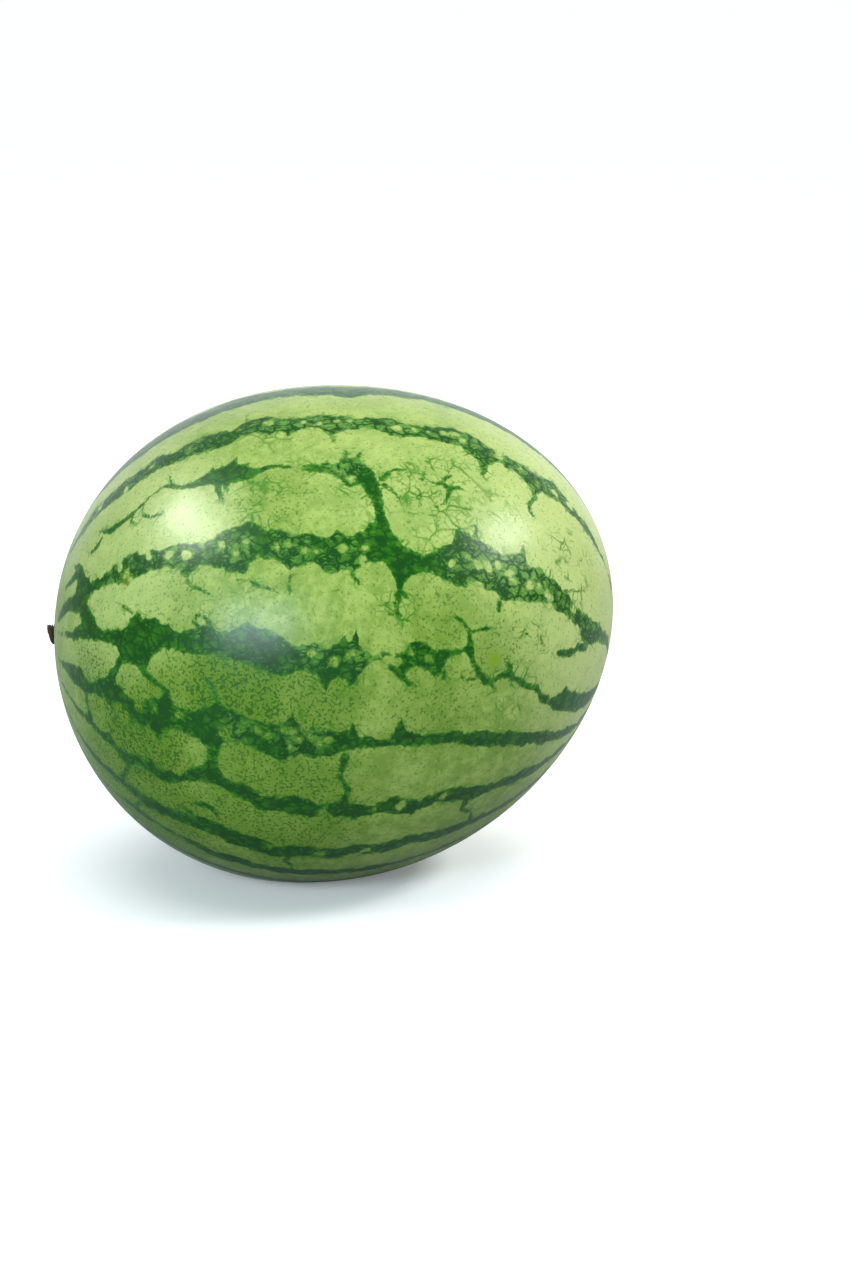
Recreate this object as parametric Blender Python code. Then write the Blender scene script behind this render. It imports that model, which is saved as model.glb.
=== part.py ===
"""A whole watermelon at its real size, lying on its side on a small flat spot, with its dry stub of stem.

Metres, +Z up. The fruit's long axis runs along X: the stem end is at -X and the blossom end at +X.
The origin is under the middle of the object, on the surface that it rests on.
Run with: blender --background --python part.py
"""

from math import atan2, cos, hypot, pi, sin, sqrt

import bmesh
import bpy
from mathutils import Vector

# The fruit. It grew a little lopsided: fuller towards the stem, and rising towards the blossom end.
FRUIT_LENGTH = 0.280
FRUIT_GIRTH_RADIUS = 0.1245
END_BLUNTNESS = 2.08
STEM_END_FULLNESS = 0.05
RISE_PER_LENGTH = 0.053
ENDS_LIFT = 0.047

# The flat spot that the fruit lies on, as the depth of rind that it takes away.
FLAT_SPOT_DEPTH = 0.0030

# The stem end's scar is a flat disc in a shallow dimple.
STEM_SCAR_RADIUS = 0.0080
STEM_DIMPLE_RADIUS = 0.0180
STEM_SCAR_DEPTH = 0.0017

# The blossom's scar is a smaller dimple, a little below the far end of the fruit, where the stripes meet.
BLOSSOM_STATION = 0.964
BLOSSOM_FACING = Vector((0.96, 0.0, -0.28))
BLOSSOM_SCAR_RADIUS = 0.0040
BLOSSOM_DIMPLE_RADIUS = 0.0130
BLOSSOM_SCAR_DEPTH = 0.0014

# The stem stub: a five-ribbed stalk that was cut short at a slant and has dried.
STUB_BASE_RADIUS = 0.0070
STUB_NECK_RADIUS = 0.0048
STUB_END_RADIUS = 0.0052
STUB_LENGTH = 0.0046
STUB_CUT_SLANT = 0.32
STUB_RIBS = 5
STUB_RIB_HEIGHT = 0.09
STUB_RINGS = 6
SEATING_GAP = 0.0003

# How finely the surfaces are divided.
FRUIT_SEGMENTS = 64
FRUIT_RINGS = 40
RING_CROWDING = 0.5
STUB_SEGMENTS = 40

RIND_COLOUR = (0.36, 0.54, 0.16, 1.0)
STEM_COLOUR = (0.055, 0.038, 0.020, 1.0)


def clear_scene():
    """Removes whatever the file holds, so that the script can be run again."""
    for thing in list(bpy.data.objects):
        bpy.data.objects.remove(thing, do_unlink=True)


def make_material(name, colour, roughness):
    """A Principled material of one colour, with no metal in it."""
    material = bpy.data.materials.new(name)
    material.use_nodes = True
    shader = material.node_tree.nodes["Principled BSDF"]
    shader.inputs["Base Color"].default_value = colour
    shader.inputs["Roughness"].default_value = roughness
    shader.inputs["Metallic"].default_value = 0.0
    return material


def smooth_step(low, high, value):
    """0 below low, 1 above high, and a smooth slope between them."""
    share = min(1.0, max(0.0, (value - low) / (high - low)))
    return share * share * (3.0 - 2.0 * share)


def section_radius(station):
    """The fruit's radius at a station, which runs from -1 at the stem end to 1 at the blossom end."""
    roundness = max(0.0, 1.0 - abs(station) ** END_BLUNTNESS)
    return FRUIT_GIRTH_RADIUS * sqrt(roundness) * (1.0 - STEM_END_FULLNESS * station)


def stem_end_pressed(x, radius):
    """x of the rind once the stem end's scar and dimple are pressed in, at this distance from the axis."""
    if x > 0:
        return x
    scar_x = -FRUIT_LENGTH / 2 + STEM_SCAR_DEPTH
    return scar_x + (x - scar_x) * smooth_step(STEM_SCAR_RADIUS, STEM_DIMPLE_RADIUS, radius)


def blossom_end_pressed(point):
    """A point of the rind once the blossom's scar is pressed in."""
    x = BLOSSOM_STATION * FRUIT_LENGTH / 2
    scar = Vector((x, 0.0, lopsided_height(x) - section_radius(BLOSSOM_STATION)))
    untouched = smooth_step(BLOSSOM_SCAR_RADIUS, BLOSSOM_DIMPLE_RADIUS, (point - scar).length)
    return point - BLOSSOM_FACING * BLOSSOM_SCAR_DEPTH * (1.0 - untouched)


def lopsided_height(x):
    """How far the fruit's middle line has risen at x."""
    return RISE_PER_LENGTH * x + ENDS_LIFT * x * x / (FRUIT_LENGTH / 2)


def grown(point):
    """Where a point of a unit sphere with its poles on X ends up on the fruit."""
    polar = atan2(hypot(point.y, point.z), -point.x)
    polar -= RING_CROWDING * sin(2.0 * polar) / 2.0
    around = atan2(point.z, point.y)
    station = -cos(polar)
    radius = section_radius(station)
    x = station * FRUIT_LENGTH / 2
    height = radius * sin(around) + lopsided_height(x)
    return blossom_end_pressed(Vector((stem_end_pressed(x, radius), radius * cos(around), height)))


def add_object(name, mesh_data, material, collection):
    """Makes an object of a finished bmesh, smooth apart from its cut edges."""
    mesh = bpy.data.meshes.new(name)
    mesh_data.to_mesh(mesh)
    mesh_data.free()
    mesh.materials.append(material)
    mesh.shade_smooth()
    mesh.set_sharp_from_angle(angle=pi / 6)
    made = bpy.data.objects.new(name, mesh)
    collection.objects.link(made)
    return made


def make_fruit(material, collection):
    """The whole fruit, one solid, with its dimpled ends and the flat spot that it lies on."""
    fruit = bmesh.new()
    bmesh.ops.create_uvsphere(fruit, u_segments=FRUIT_SEGMENTS, v_segments=FRUIT_RINGS, radius=1.0)
    for vertex in fruit.verts:
        on_side = Vector((-vertex.co.z, vertex.co.y, vertex.co.x))
        vertex.co = grown(on_side)
    lowest = min(vertex.co.z for vertex in fruit.verts)
    everything = fruit.verts[:] + fruit.edges[:] + fruit.faces[:]
    cut = bmesh.ops.bisect_plane(
        fruit,
        geom=everything,
        dist=1e-6,
        plane_co=(0.0, 0.0, lowest + FLAT_SPOT_DEPTH),
        plane_no=(0.0, 0.0, -1.0),
        clear_outer=True,
    )
    rim = [edge for edge in cut["geom_cut"] if isinstance(edge, bmesh.types.BMEdge)]
    bmesh.ops.contextual_create(fruit, geom=rim)
    bmesh.ops.remove_doubles(fruit, verts=fruit.verts, dist=1e-5)
    bmesh.ops.recalc_face_normals(fruit, faces=fruit.faces)
    return add_object("fruit", fruit, material, collection)


def stub_radius(share):
    """The stub's radius at a share of its length: wide at the fruit, narrow in the neck, then a lip."""
    flare = (STUB_BASE_RADIUS - STUB_NECK_RADIUS) * (1.0 - smooth_step(0.0, 0.55, share))
    lip = (STUB_END_RADIUS - STUB_NECK_RADIUS) * smooth_step(0.5, 1.0, share)
    return STUB_NECK_RADIUS + flare + lip


def make_stem(material, collection):
    """The dry stub of the stem, standing in the stem end's dimple, just clear of the scar."""
    stub = bmesh.new()
    bmesh.ops.create_cone(stub, cap_ends=True, segments=STUB_SEGMENTS, radius1=1.0, radius2=1.0, depth=1.0)
    sides = [edge for edge in stub.edges if abs(edge.verts[0].co.z - edge.verts[1].co.z) > 0.5]
    bmesh.ops.subdivide_edges(stub, edges=sides, cuts=STUB_RINGS - 1, use_grid_fill=True)
    base_x = -FRUIT_LENGTH / 2 + STEM_SCAR_DEPTH - SEATING_GAP
    base_height = lopsided_height(-FRUIT_LENGTH / 2)
    for vertex in stub.verts:
        share = vertex.co.z + 0.5
        around = atan2(vertex.co.y, vertex.co.x)
        ribbed = 1.0 + STUB_RIB_HEIGHT * cos(STUB_RIBS * around) * sin(pi * (0.15 + 0.85 * share))
        radius = stub_radius(share) * ribbed
        height = radius * sin(around)
        out = share * (STUB_LENGTH + STUB_CUT_SLANT * height)
        vertex.co = (base_x - out, radius * cos(around), height + base_height)
    bmesh.ops.recalc_face_normals(stub, faces=stub.faces)
    return add_object("stem_stub", stub, material, collection)


def stand_on_origin(pieces):
    """Moves the pieces so that the middle of the bottom of their common box is the origin."""
    corners = [vertex.co for piece in pieces for vertex in piece.data.vertices]
    low = Vector(min(corner[axis] for corner in corners) for axis in range(3))
    high = Vector(max(corner[axis] for corner in corners) for axis in range(3))
    base = Vector(((low.x + high.x) / 2, (low.y + high.y) / 2, low.z))
    for piece in pieces:
        for vertex in piece.data.vertices:
            vertex.co -= base


def main():
    """Builds the fruit and its stem stub in a collection of their own."""
    clear_scene()
    collection = bpy.data.collections.new("watermelon")
    bpy.context.scene.collection.children.link(collection)
    rind = make_material("rind", RIND_COLOUR, 0.35)
    dry_stem = make_material("dry_stem", STEM_COLOUR, 0.85)
    pieces = [make_fruit(rind, collection), make_stem(dry_stem, collection)]
    stand_on_origin(pieces)


main()
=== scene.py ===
"""The looks of a whole striped watermelon, lying on its side on a pale floor in soft studio light.

Lengths are in metres. Places on the rind are given the way a grower would point at them, in degrees:
the polar angle runs from 0 at the stem to 180 at the far end, and the angle around runs from 0 at the
front to 90 at the top, so negative angles are low on the front. Widths on the rind are in degrees too.
"""

from __future__ import annotations

import logging
from dataclasses import dataclass, field
from enum import Enum
from math import pi, radians

import bpy
import numpy as np
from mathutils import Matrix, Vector, noise

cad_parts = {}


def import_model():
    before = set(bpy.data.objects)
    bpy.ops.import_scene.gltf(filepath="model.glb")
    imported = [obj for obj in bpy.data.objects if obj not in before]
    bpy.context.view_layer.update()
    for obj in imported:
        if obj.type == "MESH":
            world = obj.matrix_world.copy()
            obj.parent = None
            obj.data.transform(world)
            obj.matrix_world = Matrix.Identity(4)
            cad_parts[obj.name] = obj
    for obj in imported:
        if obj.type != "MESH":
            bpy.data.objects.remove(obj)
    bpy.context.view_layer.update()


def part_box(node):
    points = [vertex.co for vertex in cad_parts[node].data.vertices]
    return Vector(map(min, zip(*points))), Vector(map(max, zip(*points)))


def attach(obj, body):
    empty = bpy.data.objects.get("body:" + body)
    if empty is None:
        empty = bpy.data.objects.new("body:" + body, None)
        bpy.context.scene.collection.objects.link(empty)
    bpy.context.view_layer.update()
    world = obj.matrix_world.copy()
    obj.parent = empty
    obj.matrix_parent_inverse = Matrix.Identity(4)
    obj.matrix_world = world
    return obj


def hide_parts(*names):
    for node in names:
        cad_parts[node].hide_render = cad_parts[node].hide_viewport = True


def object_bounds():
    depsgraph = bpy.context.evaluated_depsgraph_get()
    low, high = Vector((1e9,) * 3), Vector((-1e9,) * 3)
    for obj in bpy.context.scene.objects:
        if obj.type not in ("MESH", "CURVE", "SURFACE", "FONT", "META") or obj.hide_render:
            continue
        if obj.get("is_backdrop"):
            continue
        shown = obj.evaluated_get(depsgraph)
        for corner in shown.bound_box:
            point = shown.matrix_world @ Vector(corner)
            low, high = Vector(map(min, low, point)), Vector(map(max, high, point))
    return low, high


log = logging.getLogger("watermelon")

Point = tuple[float, float]
Knot = tuple[float, float, float]
Colour = tuple[float, float, float, float]

ROOT_BODY = "root"

NOISE_MIDDLE = 0.5
SETTLING_STEPS = 12
SAME_WAY = 0.99


class Tissue(Enum):
    """The record's material slots."""

    RIND = "rind"
    DRY_STEM = "dry_stem"


def smooth_step(low: float, high: float, value: np.ndarray) -> np.ndarray:
    """0 below low, 1 above high, and a smooth slope between them."""
    share = np.clip((value - low) / (high - low), 0.0, 1.0)
    return share * share * (3.0 - 2.0 * share)


def srgb(red: int, green: int, blue: int) -> Colour:
    """A linear colour from the usual 0 to 255 values of a colour picker.

    Args:
        red: How red it is.
        green: How green it is.
        blue: How blue it is.

    Returns:
        The colour, with full alpha.
    """
    channels = [channel / 255.0 for channel in (red, green, blue)]
    linear = [c / 12.92 if c <= 0.04045 else ((c + 0.055) / 1.055) ** 2.4 for c in channels]
    return (linear[0], linear[1], linear[2], 1.0)


# --------------------------------------------------------------------------------------------------
# Growth: the fruit's form, and the two ways of naming a place on it
# --------------------------------------------------------------------------------------------------


@dataclass
class Growth:
    """The form that the fruit grew to, a little lopsided, and how its stripes run over it."""

    half_length: float = 0.140
    girth_radius: float = 0.1245
    bluntness: float = 2.08
    stem_end_fullness: float = 0.05
    rise: float = 0.053
    ends_lift: float = 0.047
    flat_depth: float = 0.0030
    flat_softness: float = 0.0008
    stem_scar_radius: float = 0.0080
    stem_dimple_radius: float = 0.0180
    stem_scar_depth: float = 0.0017
    blossom_tilt: float = 15.4
    blossom_facing: Vector = field(default_factory=lambda: Vector((0.96, 0.0, -0.28)))
    blossom_scar_radius: float = 0.0040
    blossom_dimple_radius: float = 0.0130
    blossom_scar_depth: float = 0.0014
    origin: Vector = field(default_factory=Vector)

    def section_radius(self, station: np.ndarray) -> np.ndarray:
        """The radius at a station, which runs from -1 at the stem to 1 at the far end."""
        roundness = np.clip(1.0 - np.abs(station) ** self.bluntness, 0.0, None)
        return self.girth_radius * np.sqrt(roundness) * (1.0 - self.stem_end_fullness * station)

    def middle_height(self, x: np.ndarray) -> np.ndarray:
        """How far the fruit's middle line has risen at x."""
        return self.rise * x + self.ends_lift * x * x / self.half_length

    def skin(self, polar: np.ndarray, around: np.ndarray) -> np.ndarray:
        """Points of the plain skin, without scars or flat spot.

        Args:
            polar: Degrees from the stem.
            around: Degrees up from the front.

        Returns:
            Their places, one row each, from the fruit's own middle.
        """
        station = -np.cos(np.radians(polar))
        radius = self.section_radius(station)
        x = station * self.half_length
        y = -radius * np.cos(np.radians(around))
        z = radius * np.sin(np.radians(around)) + self.middle_height(x)
        return np.stack([x, y, z], axis=-1)

    def blossom_scar(self) -> np.ndarray:
        """Where the stripes meet: below the far end, on the plain skin."""
        return self.skin(np.array(180.0 - self.blossom_tilt), np.array(-90.0))

    def pressed(self, skin: np.ndarray, polar: np.ndarray) -> np.ndarray:
        """The skin with its two scars pressed in and its underside pressed flat.

        Args:
            skin: Points of the plain skin.
            polar: Their degrees from the stem.

        Returns:
            The points' final places, from the fruit's own middle.
        """
        points = skin.copy()
        off_axis = self.section_radius(-np.cos(np.radians(polar)))
        natural = smooth_step(self.stem_scar_radius, self.stem_dimple_radius, off_axis)
        scar_x = self.stem_scar_depth - self.half_length
        points[:, 0] = np.where(polar < 90.0, scar_x + (points[:, 0] - scar_x) * natural, points[:, 0])
        away = np.linalg.norm(points - self.blossom_scar(), axis=1)
        pressing = 1.0 - smooth_step(self.blossom_scar_radius, self.blossom_dimple_radius, away)
        points -= np.array(self.blossom_facing) * (self.blossom_scar_depth * pressing)[:, None]
        above = points[:, 2] - self.floor_height()
        points[:, 2] += 0.5 * (np.sqrt(above * above + self.flat_softness**2) - above)
        return points

    def floor_height(self) -> float:
        """The height of the flat spot, from the fruit's own middle."""
        polar = np.linspace(60.0, 110.0, 201)
        return float(self.skin(polar, np.full_like(polar, -90.0))[:, 2].min()) + self.flat_depth

    def stripe_angles(self, polar: np.ndarray, around: np.ndarray) -> tuple[np.ndarray, np.ndarray]:
        """A place on the rind, named along the stripes, which run from the stem to the blossom's scar.

        Args:
            polar: Degrees from the stem.
            around: Degrees up from the front.

        Returns:
            Degrees from the stem along a stripe, and degrees around across the stripes.
        """
        polar, around = np.radians(polar), np.radians(around)
        east, front, up = -np.cos(polar), np.sin(polar) * np.cos(around), np.sin(polar) * np.sin(around)
        along = east.copy()
        height = up.copy()
        for _ in range(SETTLING_STEPS):
            angle = np.degrees(np.arccos(np.clip(-along, -1.0, 1.0)))
            tilt = np.radians(self.blossom_tilt * np.clip(angle - 90.0, 0.0, 90.0) / 90.0)
            along = np.cos(tilt) * east - np.sin(tilt) * up
            height = np.sin(tilt) * east + np.cos(tilt) * up
        return np.degrees(np.arccos(np.clip(-along, -1.0, 1.0))), np.degrees(np.arctan2(height, front))


# --------------------------------------------------------------------------------------------------
# The stripes, as they lie on the rind
# --------------------------------------------------------------------------------------------------


def turned_near(angle: np.ndarray, home: float) -> np.ndarray:
    """The same angles, each within half a turn of home."""
    return (angle - home + 180.0) % 360.0 - 180.0 + home


@dataclass
class Stripe:
    """One dark stripe: its two edges, the streaks that branch from it and the light islands in it.

    The edges are places on the rind, listed from the stem on. A streak is a line of places with a half
    width at each. An island is a place and a radius.
    """

    name: str
    lower: list[Point] = field(default_factory=list)
    upper: list[Point] = field(default_factory=list)
    streaks: list[list[Knot]] = field(default_factory=list)
    islands: list[Knot] = field(default_factory=list)


@dataclass
class Echo:
    """A stripe on the hidden side: another stripe's growth, carried round the fruit.

    Attributes:
        source: The name of the stripe that it grows like.
        home: Degrees around that the source lies at.
        target: Degrees around that this one lies at.
        flipped: True where its upper edge grows like the source's lower edge.
        slide: How many degrees further from the stem its features lie, in its middle.
    """

    source: str
    home: float
    target: float
    flipped: bool
    slide: float


SHOULDER = Stripe(
    "shoulder",
    lower=[
        (20, 89), (30, 84.5), (38, 81), (44, 79.5), (50, 79), (57, 79.5), (63, 80), (70, 81.5),
        (78, 82.5),
        (86, 82), (92, 81), (94, 79), (96, 82), (101, 84), (110, 85.5), (120, 86), (130, 86.5),
        (140, 87),
        (150, 88), (160, 90),
    ],
    upper=[
        (20, 91), (30, 92), (38, 91), (44, 90), (50, 89), (57, 90.5), (63, 89.5), (70, 92), (78, 91),
        (86, 92), (94, 91), (101, 93), (110, 92.5), (120, 94.5), (130, 94), (140, 95), (150, 94),
        (160, 92),
    ],
)

CROWN = Stripe(
    "crown",
    lower=[
        (14, 66), (18, 65.5), (22, 64.5), (25, 63.2), (30, 63), (35, 63), (40, 63), (43, 61),
        (45, 61.2),
        (47, 62), (50, 63), (53.5, 63.2), (59, 62.8), (62, 62.5), (65, 62), (68, 62.5), (70.5, 63),
        (72, 65),
        (75, 65), (78, 64), (80, 64.3), (82, 62.8), (84, 64.5), (86, 65), (88, 64.8), (89.5, 62.8),
        (90.5, 61.2), (91.5, 63), (94, 63.5), (96, 65), (98, 65), (99.5, 63.8), (101, 63.3),
        (103, 62.5),
        (105, 63), (108, 64), (111, 63.5), (115, 63.5), (117, 62.8), (119, 61.5), (120.5, 59.8),
        (122.3, 58.5), (123.5, 60.5), (125, 62), (127, 61.5), (129, 61.5), (131, 60), (132.5, 58.8),
        (134, 56), (135.2, 55), (137, 58.5), (140.5, 58.5), (145, 58.5), (148, 57.8), (150, 57.2),
        (153, 55), (156, 55), (160, 53), (165, 50),
    ],
    upper=[
        (14, 67.5), (18, 68), (22, 68), (25, 68.3), (30, 69), (35, 70), (40, 69.2), (45, 69), (50, 69),
        (53.5, 70.5), (56, 68.5), (59, 68.5), (62, 70), (65, 70), (68, 69.5), (70.5, 68.2), (72, 70),
        (74, 72.2), (76, 72.4), (78, 71.8), (80, 71.2), (82, 70), (84, 69.6), (88, 70.6), (89.5, 70.5),
        (91.5, 69.5), (96, 69), (98, 69.7), (101, 70.3), (103, 69.4), (105, 68.4), (108, 68.4),
        (111, 69.2),
        (113, 70.5), (115, 72), (117, 71.2), (119, 71), (120.5, 70), (122.3, 68), (125, 67.5),
        (129, 67.4),
        (132.5, 66.8), (135.2, 66.3), (137, 67.3), (139, 69), (140.5, 70), (142, 68.5), (145, 66),
        (150, 64), (153, 63), (156, 60.5), (160, 57), (165, 53),
    ],
    streaks=[
        [(121.5, 60, 1.5), (122, 57, 0.9), (121.5, 55, 0.6)],
        [(134.5, 57, 1.2), (134.8, 54, 0.9), (133.5, 51, 0.7), (133, 48.5, 0.7), (134.5, 45.5, 0.5)],
        [(90.8, 61.5, 0.7), (91, 59.5, 0.5)],
        [(73.3, 71, 0.6), (73.4, 74.5, 0.4)],
    ],
    islands=[
        (78, 68.8, 0.8), (80.5, 68, 0.6), (52.5, 66.5, 0.6), (45, 63.5, 0.6), (61, 66, 0.5),
        (91.5, 67.5, 0.6),
        (93.5, 67.8, 0.5), (88, 66.6, 0.5), (85, 67.5, 0.5), (103, 66, 0.7), (101.3, 66.6, 0.5),
        (107, 66.3, 0.6), (110, 66.5, 0.6), (113, 68, 0.8), (115, 68.5, 0.8), (117, 66.8, 0.6),
        (125.5, 65.3, 0.7), (131, 64.5, 0.6), (141, 63.5, 0.9), (146, 62.5, 0.7), (36, 66.5, 0.5),
    ],
)

BROKEN = Stripe(
    "broken",
    streaks=[
        [(22, 41, 0.7), (25, 40.7, 0.9), (28, 41.2, 1.3), (30, 40, 1.7)],
        [(27, 46.5, 0.6), (29, 44.3, 0.8), (30, 42.3, 1.0), (30.3, 40, 1.6)],
        [(33.5, 46.3, 0.5), (35, 45.5, 0.6), (37.5, 46.5, 0.7), (38.3, 48.5, 0.5)],
        [
            (37.3, 52.3, 0.5), (39.5, 50.3, 0.8), (41.5, 48.8, 0.9), (44, 49.3, 0.9), (47, 50, 0.8),
            (50, 51.8, 0.7), (53, 54, 0.5), (56, 55, 0.5), (57.8, 54.3, 0.6), (59.5, 52.8, 0.7),
            (62, 52, 0.9), (65, 52.4, 1.5),
        ],
        [(57.8, 54.3, 0.5), (57.3, 57.8, 0.4)],
        [(50.7, 51.3, 0.5), (50.4, 49, 0.5), (51.5, 47.3, 0.5), (53.5, 46.2, 0.5), (56, 46, 0.4)],
        [(48, 50, 0.6), (47.5, 47.5, 0.5), (49, 46.5, 0.4)],
        [
            (63.5, 52, 1.1), (66, 52.7, 1.9), (68.5, 52.6, 2.7), (70.5, 52.8, 3.0), (72.5, 52.2, 2.7),
            (74.5, 51.8, 1.8), (76.5, 52.2, 0.9),
        ],
        [(71, 55, 1.2), (71.7, 57.6, 0.4)],
        [(68, 50.5, 1.2), (68.6, 47.5, 0.8), (69.5, 45, 0.4)],
        [(73.3, 54, 1.0), (74.3, 55.2, 0.4)],
        [(66.8, 54, 1.0), (67, 56.4, 0.4)],
        [(70, 49.5, 0.9), (70.3, 47.3, 0.4)],
        [
            (76.5, 52.2, 0.9), (79, 53, 0.6), (81, 52.6, 0.5), (82.5, 52.3, 0.7), (84.5, 52, 0.5),
            (86.5, 52.3, 0.7), (89, 52, 1.1), (91.5, 52.5, 1.6), (93.5, 52.5, 2.4), (95, 51.3, 2.6),
            (96.8, 49.6, 2.2), (98.3, 46.8, 1.9), (99.3, 43.8, 1.4), (100, 41, 1.1), (100.2, 38.5, 1.1),
            (100.4, 36.5, 1.7), (100.6, 34, 2.4), (101.5, 31.5, 3.0),
        ],
        [
            (85, 51.3, 0.5), (87, 51, 0.6), (90, 50.8, 0.8), (92, 49.5, 0.9), (93.5, 47.3, 0.7),
            (94.5, 46.5, 0.6),
        ],
        [(94.5, 46.5, 0.6), (96, 47.3, 0.8), (97.5, 47, 1.0)],
        [(90.5, 53, 0.9), (91, 55.3, 0.5)],
        [(93, 54, 1.0), (93.5, 56.2, 0.5)],
        [(95.5, 53, 1.2), (96, 56, 0.5)],
        [(100.5, 48.5, 0.9), (101.5, 50.3, 0.5), (103, 51.8, 0.5), (105, 51.5, 0.4)],
        [(100.5, 47.3, 0.8), (102, 46, 0.6), (103, 44.8, 0.5), (104, 43.5, 0.4)],
        [(98.3, 36.7, 0.7), (98, 34.5, 1.2)],
        [
            (107, 50, 0.3), (109, 49.8, 0.4), (111, 48.8, 0.4), (112.7, 49, 0.6), (114, 48, 0.6),
            (116, 48.5, 0.5), (118, 48, 0.3), (120, 46.8, 0.2),
        ],
        [(113.7, 54, 0.3), (114.3, 52, 0.4), (113, 50.3, 0.5), (112.7, 49, 0.5)],
        [(109, 53.5, 0.3), (108.8, 51, 0.3), (108.5, 49, 0.3)],
        [(114, 48, 0.5), (114, 45.5, 0.4), (113.3, 43.3, 0.4), (111.8, 42, 0.3), (110.5, 42.7, 0.2)],
        [(108, 46.5, 0.3), (108, 43.5, 0.3), (108.2, 41, 0.4)],
    ],
    islands=[(91, 53.7, 0.9), (94.5, 48.6, 0.7), (76, 50.3, 0.5)],
)

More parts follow.
